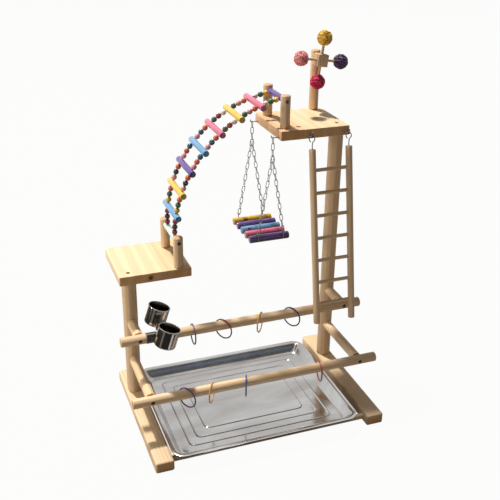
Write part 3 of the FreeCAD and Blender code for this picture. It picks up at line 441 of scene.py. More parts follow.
def on_string(side, angle):
    """A point on one string and the way the string runs there."""
    lean = (bulge * BRIDGE_RISE + Vector((0, side * BRIDGE_SPREAD, 0))) / sagitta
    centre = (low_end + high_end) / 2 + Vector((0, side * STRING_OFFSET, 0)) - lean * (arch_radius - sagitta)
    point = centre + (chord_way * math.sin(angle) + lean * math.cos(angle)) * arch_radius
    return point, chord_way * math.cos(angle) - lean * math.sin(angle)


def tube(path, radius, sides, closed=False):
    """A round wire along a path, turned as little as it can be from point to point."""
    count = len(path)
    corners = []
    ways = []
    for i in range(count):
        before = path[i - 1] if closed or i > 0 else path[i]
        after = path[(i + 1) % count] if closed or i < count - 1 else path[i]
        ways.append((after - before).normalized())
    side = ways[0].orthogonal().normalized()
    if closed:
        normal = sum(((a.cross(b)) for a, b in zip(path, path[1:] + path[:1])), Vector())
        if normal.length > 0:
            side = ways[0].cross(normal).normalized()
    for i in range(count):
        side = (side - ways[i] * side.dot(ways[i])).normalized()
        other = ways[i].cross(side)
        for k in range(sides):
            angle = 2 * math.pi * k / sides
            corners.append(path[i] + (side * math.cos(angle) + other * math.sin(angle)) * radius)
    faces = []
    for i in range(count if closed else count - 1):
        near = i * sides
        far = (i + 1) % count * sides
        for k in range(sides):
            faces.append([near + k, near + (k + 1) % sides, far + (k + 1) % sides, far + k])
    if not closed:
        faces.append(list(range(sides - 1, -1, -1)))
        faces.append([(count - 1) * sides + k for k in range(sides)])
    return corners, faces


def steel(name, colour, roughness, streak, turn="x", metallic=1.0):
    """Drawn or rolled steel: fine draw lines, slight stains and uneven polish."""
    material, shader, add, join = material_nodes(name)
    place = add("TexCoord").outputs["Object"]
    lines = add("Mapping")
    lines.inputs["Rotation"].default_value = GRAIN_TURN[turn]
    lines.inputs["Scale"].default_value = (12, 900, 900)
    join(place, lines.inputs["Vector"])
    drawn = add("TexNoise", Scale=1.0, Detail=3.0)
    join(lines.outputs["Vector"], drawn.inputs["Vector"])
    stain = add("TexNoise", Scale=55.0, Detail=3.0)
    join(place, stain.inputs["Vector"])
    dark = [c * 0.72 for c in colour[:3]] + [1]
    tint = ramp(add, join, stain.outputs["Fac"], ((0.30, dark), (0.55, colour)))
    join(tint, shader.inputs["Base Color"])
    shader.inputs["Metallic"].default_value = metallic
    smooth = (roughness,) * 3 + (1,)
    dull = (min(1, roughness + streak),) * 3 + (1,)
    join(ramp(add, join, drawn.outputs["Fac"], ((0.35, smooth), (0.7, dull))), shader.inputs["Roughness"])
    bump(add, join, shader, drawn.outputs["Fac"], 0.06, 0.0002)
    return material


bright_wire = steel("steel_wire", linear(150, 150, 154), 0.22, 0.18)
reach = half_angle + WIRE_END / arch_radius
strings = []
for side in (-1, 1):
    strings.append(tube([on_string(side, reach * (i / 60 - 1))[0] for i in range(121)], WIRE_RADIUS, 10))
piece("bridge_wires_drawn", together(strings), bright_wire, "stand", ["bridge_wires"])

# ---------------------------------------------------------------- bridge rungs
# Nine turned birch rungs, sprayed with gloss paint in candy colours after
# drilling. The paint is thin on the arrises, so a little wood shows there.
RUNG_HALF = 0.051
RUNG_COLOURS = ("purple", "pink", "yellow", "pink", "blue", "purple", "yellow", "blue", "mint")
PAINTS = {
    "purple": linear(96, 64, 140), "pink": linear(212, 102, 130), "yellow": linear(228, 188, 64),
    "blue": linear(102, 158, 202), "mint": linear(204, 234, 214), "gold": linear(218, 170, 32),
    "plum": linear(74, 44, 104),
}


def paint(name, colour, along, wear=0.5):
    """Gloss paint on wood: soft brush lines, uneven cover and faint wood grain under it."""
    material, shader, add, join = material_nodes(name)
    place = add("TexCoord").outputs["Object"]
    lines = add("Mapping")
    lines.inputs["Rotation"].default_value = GRAIN_TURN[along]
    lines.inputs["Scale"].default_value = (25, 420, 420)
    join(place, lines.inputs["Vector"])
    grain = add("TexNoise", Scale=1.0, Detail=4.0)
    join(lines.outputs["Vector"], grain.inputs["Vector"])
    thin = [min(1, c * 1.35 + 0.03) for c in colour[:3]] + [1]
    deep = [c * 0.62 for c in colour[:3]] + [1]
    cover = ramp(add, join, grain.outputs["Fac"], ((0.28, deep), (0.48, colour), (0.72, colour), (0.86, thin)))
    blotch = add("TexNoise", Scale=120.0, Detail=2.0)
    join(place, blotch.inputs["Vector"])
    blotches = ramp(add, join, blotch.outputs["Fac"], ((0.35, (0.82, 0.82, 0.82, 1)), (0.6, (1, 1, 1, 1))))
    cover = mix(add, join, "MULTIPLY", wear, cover, blotches)
    if wear > 0.6:
        # beaks have nicked the paint down to brown wood
        nicks = add("TexNoise", Scale=95.0, Detail=2.0)
        join(place, nicks.inputs["Vector"])
        bare = ramp(add, join, nicks.outputs["Fac"], ((0.0, (0, 0, 0, 1)), (0.635, (0, 0, 0, 1)), (0.66, (1, 1, 1, 1))))
        cover = mix(add, join, "MIX", bare, cover, linear(104, 58, 30))
    facing = add("SeparateXYZ")
    join(add("TexCoord").outputs["Normal"], facing.inputs["Vector"])
    end = add("Math", operation="ABSOLUTE")
    join(facing.outputs["xyz".index(along)], end.inputs[0])
    end_mask = ramp(add, join, end.outputs["Value"], ((0.85, (0, 0, 0, 1)), (0.97, (1, 1, 1, 1))))
    cover = mix(add, join, "MIX", end_mask, cover, deep)
    join(cover, shader.inputs["Base Color"])
    gloss = ramp(add, join, blotch.outputs["Fac"], ((0.3, (0.42, 0.42, 0.42, 1)), (0.7, (0.24, 0.24, 0.24, 1))))
    join(gloss, shader.inputs["Roughness"])
    shader.inputs["Coat Weight"].default_value = 0.35
    shader.inputs["Coat Roughness"].default_value = 0.12
    bump(add, join, shader, grain.outputs["Fac"], 0.15, 0.0003)
    return material


rungs = {}
for i, colour in enumerate(RUNG_COLOURS):
    centre = on_string(1, half_angle - i * span_angle)[0]
    half = RUNG_HALF
    if i == 0:
        half = 0.096 / 2 - PEG_RADIUS - 0.0003
    if i == RUNG_COUNT - 1:
        half = 0.104 / 2 - PEG_RADIUS - 0.0003
    rungs.setdefault(colour, []).append(dowel(Vector((centre.x, bridge_y - half, centre.z)),
                                              Vector((centre.x, bridge_y + half, centre.z)), RUNG_RADIUS, 0.001))
for colour, group in rungs.items():
    piece("rungs_" + colour + "_painted", together(group), paint("paint_rung_" + colour, PAINTS[colour], "y"),
          "stand", ["rungs_" + colour])

# ---------------------------------------------------------------- beads
# Turned wooden beads, drilled through and dipped in gloss lacquer, three on
# each string between two rungs. The lacquer pools a little round the holes.
BEAD_GAP = 0.0003
BEADS_PER_SPAN = 3
BORE_RADIUS = 0.00125
bead_radius = (arch_radius * span_angle - 2 * RUNG_RADIUS - (BEADS_PER_SPAN + 1) * BEAD_GAP) / BEADS_PER_SPAN / 2
SPAN_COLOURS = (
    ("yellow", "green", "white"), ("orange", "pink", "green"), ("white", "red", "green"),
    ("orange", "teal", "pink"), ("teal", "orange", "pink"), ("orange", "black", "pink"),
    ("orange", "green", "yellow"), ("red", "black", "red"),
)
BEAD_COLOURS = {
    "yellow": linear(234, 184, 48), "green": linear(42, 92, 48), "white": linear(232, 224, 212),
    "orange": linear(216, 100, 50), "pink": linear(232, 158, 160), "red": linear(150, 28, 42),
    "teal": linear(26, 88, 100), "black": linear(34, 28, 32),
}


def lacquer(name, colour):
    """Dipped gloss lacquer over turned wood, with a few dust specks and thin spots."""
    material, shader, add, join = material_nodes(name)
    place = add("TexCoord").outputs["Object"]
    spots = add("TexNoise", Scale=260.0, Detail=3.0)
    join(place, spots.inputs["Vector"])
    deep = [c * 0.68 for c in colour[:3]] + [1]
    lit = [min(1, c * 1.12 + 0.015) for c in colour[:3]] + [1]
    join(ramp(add, join, spots.outputs["Fac"], ((0.32, deep), (0.5, colour), (0.72, lit))),
         shader.inputs["Base Color"])
    join(ramp(add, join, spots.outputs["Fac"], ((0.3, (0.20, 0.20, 0.20, 1)), (0.7, (0.11, 0.11, 0.11, 1)))),
         shader.inputs["Roughness"])
    shader.inputs["Coat Weight"].default_value = 0.6
    shader.inputs["Coat Roughness"].default_value = 0.05
    bump(add, join, shader, spots.outputs["Fac"], 0.08, 0.0002)
    return material


bead_outline = [(BORE_RADIUS, -0.90 * bead_radius)]
for step in range(1, 14):
    angle = math.pi * step / 14
    bead_outline.append((bead_radius * math.sin(angle) ** 0.82, -bead_radius * math.cos(angle)))
bead_outline = [(max(r, BORE_RADIUS * 1.3), h) for r, h in bead_outline]
bead_outline += [(BORE_RADIUS, 0.90 * bead_radius), (BORE_RADIUS, -0.90 * bead_radius)]
bead_shape = turned(bead_outline, 22)
beads = {}
for span, colours in enumerate(SPAN_COLOURS):
    for place_in_span, colour in enumerate(colours):
        from_rung = RUNG_RADIUS + BEAD_GAP + bead_radius + place_in_span * (2 * bead_radius + BEAD_GAP)
        angle = half_angle - span * span_angle - from_rung / arch_radius
        for side in (-1, 1):
            point, way = on_string(side, angle)
            beads.setdefault(colour, []).append(stood(bead_shape, point, way))
for colour, group in beads.items():
    piece("beads_" + colour + "_lacquered", together(group), lacquer("lacquer_" + colour, BEAD_COLOURS[colour]),
          "stand", ["beads_" + colour], 60)

# ---------------------------------------------------------------- spinner
# A toy that birds spin: a cube of pine on a screw axle, with a pine spacer
# behind it and four thin sticks, each glued into a ball of dyed woven rattan.
SPINNER_LEAN = math.radians(7.5)
HUB_HALF = (0.0115, 0.0115, 0.0125)
BALL_DISTANCE = 0.0455
BALL_RADIUS = 0.0165
STICK_RADIUS = 0.00275
BALLS = (("yellow", (0, 0, 1), linear(216, 170, 56)), ("purple", (1, 0, 0), linear(84, 56, 98)),
         ("crimson", (0, 0, -1), linear(204, 24, 84)), ("pink", (-1, 0, 0), linear(236, 146, 146)))
spacer_low, spacer_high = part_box("spinner_spacer")
axle_low, axle_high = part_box("spinner_axle")
axle_middle = (axle_low + axle_high) / 2
hub_middle = Vector((axle_middle.x, spacer_low.y - 0.0003 - HUB_HALF[1], axle_middle.z))
lean = Matrix.Rotation(SPINNER_LEAN, 3, "Y")


def leaned(shape, at, turn):
    """The shape turned about a point."""
    return [turn @ (c - at) + at for c in shape[0]], shape[1]


half_hub = Vector(HUB_HALF)
hub_shape = leaned(rounded_block(hub_middle - half_hub, hub_middle + half_hub, 0.0012), hub_middle, lean)
piece("spinner_hub_cube", hub_shape, pine("pine_hub", "z", (0.2, 0.011, 0.016), 0.97), "spinner",
      ["spinner_hub"])
piece("spinner_spacer_block", rounded_block(spacer_low, spacer_high, 0.0008),
      pine("pine_spacer", "z", (0.6, 0.014, 0.011), 0.92), "stand", ["spinner_spacer"])
axle = together([
    dowel(Vector((hub_middle.x, axle_low.y, hub_middle.z)), Vector((hub_middle.x, axle_low.y + 0.0025, hub_middle.z)),
          0.004, 0.0008, 32),
    dowel(Vector((hub_middle.x, axle_low.y + 0.002, hub_middle.z)), Vector((hub_middle.x, axle_high.y, hub_middle.z)),
          0.002, 0.0003, 24)])
piece("spinner_axle_screw", axle, steel("steel_axle", linear(88, 76, 66), 0.30, 0.2), "stand", ["spinner_axle"])
sticks = []
for colour, way, tint in BALLS:
    way = Vector(way)
    start = hub_middle + way * ((HUB_HALF[2] if way.z else HUB_HALF[0]) - 0.003)
    sticks.append(dowel(start, hub_middle + way * (BALL_DISTANCE - BALL_RADIUS + 0.004), STICK_RADIUS, 0.0004, 24))
piece("spinner_sticks_turned", leaned(together(sticks), hub_middle, lean),
      pine("pine_sticks", "x", (0.3, 0.003, 0.004), 0.97), "spinner", ["spinner_sticks"])


def rattan(name, colour):
    """Dyed cane: long fibres, random darker and lighter patches, and a dull waxy shine."""
    material, shader, add, join = material_nodes(name)
    place = add("TexCoord").outputs["Object"]
    fibre = add("TexNoise", Scale=700.0, Detail=3.0)
    join(place, fibre.inputs["Vector"])
    patch = add("TexNoise", Scale=140.0, Detail=2.0)
    join(place, patch.inputs["Vector"])
    deep = [c * 0.55 for c in colour[:3]] + [1]
    lit = [min(1, c * 1.25 + 0.02) for c in colour[:3]] + [1]
    tint = ramp(add, join, patch.outputs["Fac"], ((0.3, deep), (0.5, colour), (0.72, lit)))
    lines = ramp(add, join, fibre.outputs["Fac"], ((0.35, (0.75, 0.75, 0.75, 1)), (0.6, (1, 1, 1, 1))))
    join(mix(add, join, "MULTIPLY", 0.6, tint, lines), shader.inputs["Base Color"])
    shader.inputs["Roughness"].default_value = 0.55
    bump(add, join, shader, fibre.outputs["Fac"], 0.4, 0.0003)
    return material


def woven_ball(middle, seed):
    """A ball of cane strips: many hoops in random directions that cross over and under."""
    draw = random.Random(seed)
    hoops = []
    for i in range(14):
        pole = Vector((draw.gauss(0, 1), draw.gauss(0, 1), draw.gauss(0, 1))).normalized()
        first = pole.orthogonal().normalized()
        second = pole.cross(first)
        phase = draw.uniform(0, 6.28)
        waves = draw.choice((5, 6, 7))
        offset = draw.uniform(-0.35, 0.35)
        path = []
        for k in range(48):
            angle = 2 * math.pi * k / 48
            out = BALL_RADIUS - 0.0021 + 0.0006 * math.sin(waves * angle + phase)
            spot = first * math.cos(angle) + second * math.sin(angle) + pole * offset
            path.append(middle + spot.normalized() * out)
        hoops.append(tube(path, 0.0014, 7, True))
    core = turned([(0, -0.0137)] + [(0.0137 * math.sin(a * math.pi / 10), -0.0137 * math.cos(a * math.pi / 10))
                                    for a in range(1, 10)] + [(0, 0.0137)], 24)
    hoops.append(stood(core, middle, Vector((0, 0, 1))))
    return together(hoops)


for seed, (colour, way, tint) in enumerate(BALLS):
    middle = hub_middle + lean @ (Vector(way) * BALL_DISTANCE)
    piece("ball_" + colour + "_woven", woven_ball(middle, 11 + seed), rattan("rattan_" + colour + "_dyed", tint),
          "spinner", ["ball_" + colour])

# ---------------------------------------------------------------- swing
# Wire hooks screwed into the deck's edge carry two forked chains of welded
# links. They hold a seat of five painted bars threaded on two bent wires.
HOOK_RADIUS = 0.001
HOOK_REACH = 0.016
HOOK_TIP = 0.005
HOOK_HEIGHT = 0.0045
CHAIN_FROM_DECK = 0.012
LINK_PITCH = 0.0132
LINK_WIRE = 0.0016
LINK_WIDTH = 0.0076
STRAIGHT_LINKS = 3
ARM_LINKS = 13
SEAT_BAR_LENGTH = 0.088
SEAT_BAR_RADIUS = 0.008
SEAT_BAR_PITCH = 0.0254
SEAT_WIRE_FROM_END = 0.0155
SEAT_WIRE_RISE = 0.006
SEAT_COLOURS = ("plum", "pink", "blue", "purple", "gold")

swing_y = (top_deck_low.y + top_deck_high.y) / 2
chain_x = top_deck_low.x - CHAIN_FROM_DECK
hook_z = top_deck_low.z + HOOK_HEIGHT
wire_reach = 2 * SEAT_BAR_PITCH + SEAT_BAR_RADIUS + 0.004
chain_y = wire_reach - 0.003


def rounded_path(points, radius, steps=6):
    """A path through the points with each inner corner rounded off."""
    path = [points[0]]
    for before, corner, after in zip(points, points[1:], points[2:]):
        into = (corner - before).normalized()
        out = (after - corner).normalized()
        cut = min(radius, (corner - before).length * 0.45, (after - corner).length * 0.45)
        start = corner - into * cut
        end = corner + out * cut
        for k in range(steps + 1):
            t = k / steps
            path.append(start * (1 - t) ** 2 + corner * 2 * t * (1 - t) + end * t ** 2)
    path.append(points[-1])
    return path


hooks = []
for side in (-1, 1):
    y = swing_y + side * chain_y
    hooks.append(tube(rounded_path([
        Vector((top_deck_low.x + 0.008, y, hook_z)), Vector((top_deck_low.x - HOOK_REACH, y, hook_z)),
        Vector((top_deck_low.x - HOOK_REACH, y, hook_z + HOOK_TIP))], 0.0025), HOOK_RADIUS, 12))
piece("swing_hooks_bent", together(hooks), bright_wire, "stand", ["swing_hooks"])

link_half = (LINK_PITCH + LINK_WIRE + 0.0002) / 2
link_side = (LINK_WIDTH - LINK_WIRE) / 2


def chain_link(centre, down, across):
    """One oval link, its long way down and its wide way across."""
    path = []
    for end in (1, -1):
        for k in range(9):
            angle = math.pi * k / 8
            path.append(centre + across * (end * link_side * math.cos(angle))
                        - down * (end * (link_half - link_side + link_side * math.sin(angle))))
    return tube(path, LINK_WIRE / 2, 8, True)


chain_top = hook_z + HOOK_RADIUS + LINK_WIRE / 2 + 0.0002
arm_spread = SEAT_BAR_LENGTH / 2 - SEAT_WIRE_FROM_END
arm_drop = math.sqrt((ARM_LINKS * LINK_PITCH) ** 2 - arm_spread ** 2)
down = Vector((0, 0, -1))
links = []
for side in (-1, 1):
    y = swing_y + side * chain_y
    for i in range(STRAIGHT_LINKS):
        across = Vector((1, 0, 0)) if i % 2 else Vector((0, 1, 0))
        links.append(chain_link(Vector((chain_x, y, chain_top - link_half - i * LINK_PITCH)), down, across))
    for arm in (-1, 1):
        way = Vector((arm * arm_spread, 0, -arm_drop)).normalized()
        top = Vector((chain_x, y + arm * LINK_WIRE * 0.6, chain_top - STRAIGHT_LINKS * LINK_PITCH))
        for i in range(ARM_LINKS):
            across = Vector((0, 1, 0)) if i % 2 else Vector((0, 1, 0)).cross(way)
            links.append(chain_link(top + way * (link_half + i * LINK_PITCH), way, across))
piece("swing_chains_welded", together(links), steel("steel_chain", linear(176, 178, 182), 0.20, 0.15), "swing",
      ["swing_chains"], 60)

seat_hook_z = chain_top - STRAIGHT_LINKS * LINK_PITCH - arm_drop + LINK_WIRE / 2 - 0.0002
bar_z = seat_hook_z - SEAT_WIRE_RISE - SEAT_BAR_RADIUS
seat_wires = []
for arm in (-1, 1):
    x = chain_x + arm * arm_spread
    front = swing_y - wire_reach
    back = swing_y + wire_reach
    corners = [Vector((x, front + 0.006, seat_hook_z)), Vector((x, front, seat_hook_z)), Vector((x, front, bar_z)),
               Vector((x, back, bar_z)), Vector((x, back, seat_hook_z)), Vector((x, back - 0.006, seat_hook_z))]
    seat_wires.append(tube(rounded_path(corners, 0.0022), 0.001, 10))
piece("seat_wires_bent", together(seat_wires), bright_wire, "swing", ["seat_wires"])
for i, colour in enumerate(SEAT_COLOURS):
    y = swing_y + (i - 2) * SEAT_BAR_PITCH
    bar = dowel(Vector((chain_x - SEAT_BAR_LENGTH / 2, y, bar_z)), Vector((chain_x + SEAT_BAR_LENGTH / 2, y, bar_z)),
                SEAT_BAR_RADIUS, 0.002)
    piece("seat_bar_" + colour + "_painted", bar, paint("paint_seat_" + colour, PAINTS[colour], "x", 0.8), "swing",
          ["seat_bar_" + colour])

# ---------------------------------------------------------------- ladder
# Two pine rails joined by seven thin rungs glued into drilled holes. It hangs
# from the top deck by linked screw eyes and leans on the upper perch.
LADDER_WIDTH = 0.0815
LADDER_FROM_EDGE = 0.0055
RAIL_RADIUS = 0.007
RAIL_LENGTH = 0.372
LADDER_RUNGS = 7
LADDER_RUNG_PITCH = 0.0477
LADDER_RUNG_RADIUS = 0.00375
EYE_WIRE = 0.001
DECK_EYE = 0.005
DECK_EYE_NECK = 0.0025
LADDER_EYE = 0.006
LADDER_EYE_NECK = 0.015
perch_low, perch_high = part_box("perch_upper")
perch_middle = (perch_low + perch_high) / 2
perch_radius = (perch_high.z - perch_low.z) / 2
deck_eye_z = (top_deck_low.z + top_deck_high.z) / 2
pivot = Vector((0, top_deck_low.y - DECK_EYE_NECK - DECK_EYE, deck_eye_z - DECK_EYE + 2 * EYE_WIRE + 0.0003))
to_perch = Vector((0, perch_middle.y, perch_middle.z)) - pivot
ladder_lean = math.atan2(-to_perch.y, -to_perch.z) + math.asin(
    (RAIL_RADIUS + perch_radius + 0.0003) / to_perch.length)
ladder_turn = Matrix.Rotation(-ladder_lean, 3, "X")


def screw_eye(foot, way, normal, radius, neck):
    """A screw eye: threaded shank, straight neck and an open ring of wire."""
    sideways = normal.cross(way)
    centre = foot + way * (neck + radius)
    path = [foot - way * 0.006, foot + way * neck * 0.5]
    for k in range(1, 23):
        angle = math.pi - k * math.pi / 12
        path.append(centre + way * (radius * math.cos(angle)) + sideways * (radius * math.sin(angle)))
    return tube(path, EYE_WIRE, 12)


rail_xs = (top_deck_high.x - LADDER_FROM_EDGE - LADDER_WIDTH, top_deck_high.x - LADDER_FROM_EDGE)
rail_top = pivot - Vector((0, 0, 2 * LADDER_EYE + LADDER_EYE_NECK))
deck_eyes = []
ladder_eyes = []
rails = []
for x in rail_xs:
    deck_eyes.append(screw_eye(Vector((x, top_deck_low.y, deck_eye_z)), Vector((0, -1, 0)), Vector((1, 0, 0)),
                               DECK_EYE, DECK_EYE_NECK))
    top = rail_top + Vector((x, 0, 0))
    ladder_eyes.append(screw_eye(top, Vector((0, 0, 1)), Vector((0, 1, 0)), LADDER_EYE, LADDER_EYE_NECK))
    rails.append(dowel(top - Vector((0, 0, RAIL_LENGTH)), top, RAIL_RADIUS, 0.001))
ladder_rungs = []
rung_run = (LADDER_RUNGS - 1) * LADDER_RUNG_PITCH
for i in range(LADDER_RUNGS):
    z = rail_top.z - (RAIL_LENGTH - rung_run) / 2 - i * LADDER_RUNG_PITCH
    ladder_rungs.append(dowel(Vector((rail_xs[0] + 0.003, rail_top.y, z)), Vector((rail_xs[1] - 0.003, rail_top.y, z)),
                              LADDER_RUNG_RADIUS, 0.0005, 28))
dark_wire = steel("steel_eyes", linear(96, 92, 90), 0.30, 0.2)
piece("deck_eyes_bent", together(deck_eyes), dark_wire, "stand", ["deck_eyes"])
piece("ladder_eyes_bent", leaned(together(ladder_eyes), pivot, ladder_turn), dark_wire, "ladder",
      ["ladder_eyes"])
piece("ladder_rails_turned", leaned(together(rails), pivot, ladder_turn),
      pine("pine_rails", "z", (0.1, -0.015, 0.012), 1.0), "ladder", ["ladder_rails"])
piece("ladder_rungs_turned", leaned(together(ladder_rungs), pivot, ladder_turn),
      pine("pine_rungs", "x", (0.5, 0.009, 0.006), 1.0), "ladder", ["ladder_rungs"])

# ---------------------------------------------------------------- cups and clips
# Two deep-drawn stainless cups, mirror polished, with a rolled rim. Each is
# riveted to a spring clip of sheet steel that snaps over the upper perch.
CUP_RADIUS = 0.022
CUP_HEIGHT = 0.040
CUP_WALL = 0.001
CUP_TILT = math.radians(18)
STAND_OFF = 0.016
cup_outline = [(0, 0), (0.0165, 0)]
cup_outline += [(0.018 + 0.004 * math.sin(a), 0.004 - 0.004 * math.cos(a)) for a in (0.5, 0.8, 1.1, 1.4, math.pi / 2)]
cup_outline += [(CUP_RADIUS, 0.012), (CUP_RADIUS, 0.025), (CUP_RADIUS, CUP_HEIGHT - 0.0026)]
cup_outline += [(CUP_RADIUS + 0.0002 + 0.0009 * math.sin(a), CUP_HEIGHT - 0.0012 - 0.0012 * math.cos(a))
                for a in (0.4, 0.9, 1.4, 1.9, 2.4, 2.9)]
cup_outline += [(CUP_RADIUS - 0.0006, CUP_HEIGHT - 0.0001), (CUP_RADIUS - CUP_WALL, CUP_HEIGHT - 0.0006)]
outside_rows = len(cup_outline)
cup_outline += [(CUP_RADIUS - CUP_WALL, 0.026), (CUP_RADIUS - CUP_WALL, 0.012), (CUP_RADIUS - CUP_WALL, 0.005),
                (0.0203, 0.0028), (0.018, 0.0013), (0.0165, CUP_WALL), (0, CUP_WALL)]
CUP_SIDES = 72
cup_steel = steel("steel_cup", linear(184, 178, 172), 0.06, 0.05, "z")
# the cup's inside: duller steel whose colour is darkened as painted shade
shaded_inside_steel = steel("steel_cup_inside_shaded", linear(84, 74, 66), 0.22, 0.12, "z")
clip_steel = steel("steel_clip", linear(132, 126, 120), 0.16, 0.12, "x")
for name, towards, rise in (("front", -1, 0.020), ("rear", 1, 0.027)):
    low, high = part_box("cup_" + name)
    middle_x = (low.x + high.x) / 2
    middle = Vector((middle_x, perch_middle.y + towards * (STAND_OFF + 0.001 + 0.0003 + CUP_RADIUS),
                     perch_middle.z + rise))
    cup_shape = stood(turned(cup_outline, CUP_SIDES), middle - Vector((0, 0, CUP_HEIGHT / 2)), Vector((0, 0, 1)))
    cup_shape = leaned(cup_shape, middle, Matrix.Rotation(CUP_TILT, 3, "Y"))
    made = piece("cup_" + name + "_drawn", cup_shape, cup_steel, name + "_cup", ["cup_" + name], 50)
    # the inside is duller than the polished outside, and its steel colour is darkened as painted shade in the cup's
    # hollow
    made.data.materials.append(shaded_inside_steel)
    for face in made.data.polygons:
        if face.index // CUP_SIDES >= outside_rows - 1:
            face.material_index = 1
    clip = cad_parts["clip_" + name]
    clip.data.materials.clear()
    clip.data.materials.append(clip_steel)

# ---------------------------------------------------------------- toy rings
# Eight thin plastic rings, injection moulded and glossy, hung over the
# perches for the birds to pull along.
RING_RADIUS = 0.021
RING_WIRE = 0.0015
RINGS = (
    ("ring_upper_violet", 2, "plastic_violet", linear(78, 62, 104)),
    ("ring_upper_red", -34, "plastic_red", linear(140, 30, 38)),
    ("ring_upper_gold", 36, "plastic_gold", linear(222, 166, 72)),
    ("ring_upper_navy", -32, "plastic_navy", linear(38, 48, 86)),
    ("ring_lower_purple", -34, "plastic_violet", linear(92, 50, 132)),
    ("ring_lower_gold", 31, "plastic_gold", linear(216, 158, 72)),
    ("ring_lower_blue", 20, "plastic_blue", linear(34, 62, 146)),
    ("ring_lower_red", 10, "plastic_scarlet", linear(176, 34, 42)),
)


def moulded(name, colour):
    """Glossy moulded plastic with faint flow marks and handling scuffs."""
    material, shader, add, join = material_nodes(name)
    place = add("TexCoord").outputs["Object"]
    flow = add("TexNoise", Scale=90.0, Detail=3.0, Distortion=0.6)
    join(place, flow.inputs["Vector"])
    deep = [c * 0.75 for c in colour[:3]] + [1]
    lit = [min(1, c * 1.15 + 0.01) for c in colour[:3]] + [1]
    join(ramp(add, join, flow.outputs["Fac"], ((0.35, deep), (0.65, lit))), shader.inputs["Base Color"])
    scuff = add("TexNoise", Scale=900.0, Detail=2.0)
    join(place, scuff.inputs["Vector"])
    join(ramp(add, join, scuff.outputs["Fac"], ((0.4, (0.16, 0.16, 0.16, 1)), (0.75, (0.30, 0.30, 0.30, 1)))),
         shader.inputs["Roughness"])
    shader.inputs["Subsurface Weight"].default_value = 0.05
    shader.inputs["Subsurface Radius"].default_value = (0.002, 0.001, 0.001)
    bump(add, join, shader, scuff.outputs["Fac"], 0.03, 0.0001)
    return material


for node, turn, slot_name, colour in RINGS:
    low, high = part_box(node)
    middle = (low + high) / 2
    angle = math.radians(turn)
    way = Vector((math.cos(angle), -math.sin(angle), 0))
    across = Vector((0, 0, 1)).cross(way)
    path = [middle + (across * math.cos(2 * math.pi * k / 72) + Vector((0, 0, 1)) * math.sin(2 * math.pi * k / 72))
            * RING_RADIUS for k in range(72)]
    piece(node + "_moulded", tube(path, RING_WIRE * 0.97, 12, True), moulded("plastic_" + node, colour), node,
          [node], 60)

# ---------------------------------------------------------------- tray
# A slide-out tray pressed from one sheet of bright stainless steel: flat rim,
# sloping walls with soft corners, and three raised frames pressed in the floor.
TRAY_CORNER = 0.026
tray_low, tray_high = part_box("tray")
TRAY_PROFILE = [
    # inset from the outline, height over the lowest point
    (0.0000, 0.0168), (0.0000, 0.0176), (0.0006, 0.0180), (0.0080, 0.0180), (0.0098, 0.0176), (0.0110, 0.0164),
    (0.0150, 0.0108), (0.0200, 0.0042), (0.0222, 0.0020), (0.0250, 0.0013), (0.0262, 0.0012),
]
FRAME_INSETS = (0.0440, 0.0640, 0.0880)
FRAME_RISE = ((-0.0010, 0.0012), (-0.0004, 0.0012), (0.0001, 0.0014), (0.0008, 0.0022), (0.0013, 0.0024),
              (0.0019, 0.0024), (0.0024, 0.0022), (0.0030, 0.0014), (0.0036, 0.0012), (0.0042, 0.0012))
for frame_inset in FRAME_INSETS:
    TRAY_PROFILE.extend((frame_inset + across, height) for across, height in FRAME_RISE)
TRAY_PROFILE.extend([(0.1100, 0.0012), (0.1400, 0.0012)])


def rounded_loop(inset, height, thickness_drop):
    """The tray's outline moved in by inset, with 18 steps round each corner."""
    left, right = tray_low.x + inset, tray_high.x - inset
    front, back = tray_low.y + inset, tray_high.y - inset
    radius = max(TRAY_CORNER - inset, 0.012)
    loop = []
    for x, y, start in ((right - radius, back - radius, 0), (left + radius, back - radius, 90),
                        (left + radius, front + radius, 180), (right - radius, front + radius, 270)):
        for k in range(19):
            angle = math.radians(start + 90 * k / 18)
            loop.append(Vector((x + radius * math.cos(angle), y + radius * math.sin(angle),
                                tray_low.z + height - thickness_drop)))
    return loop


def tray_sheet(drop):
    loops = [rounded_loop(inset, max(height, drop), drop) for inset, height in TRAY_PROFILE]
    corners = [c for loop in loops for c in loop]
    size = len(loops[0])
    faces = []
    for i in range(len(loops) - 1):
        for k in range(size):
            faces.append([i * size + k, i * size + (k + 1) % size, (i + 1) * size + (k + 1) % size,
                          (i + 1) * size + k])
    faces.append([(len(loops) - 1) * size + k for k in range(size)])
    return corners, faces, size


upper_corners, upper_faces, loop_size = tray_sheet(0.0)
under_corners, under_faces, loop_size = tray_sheet(0.0011)
offset = len(upper_corners)
tray_faces = upper_faces + [[offset + i for i in reversed(face)] for face in under_faces]
tray_faces += [[k, offset + k, offset + (k + 1) % loop_size, (k + 1) % loop_size] for k in range(loop_size)]


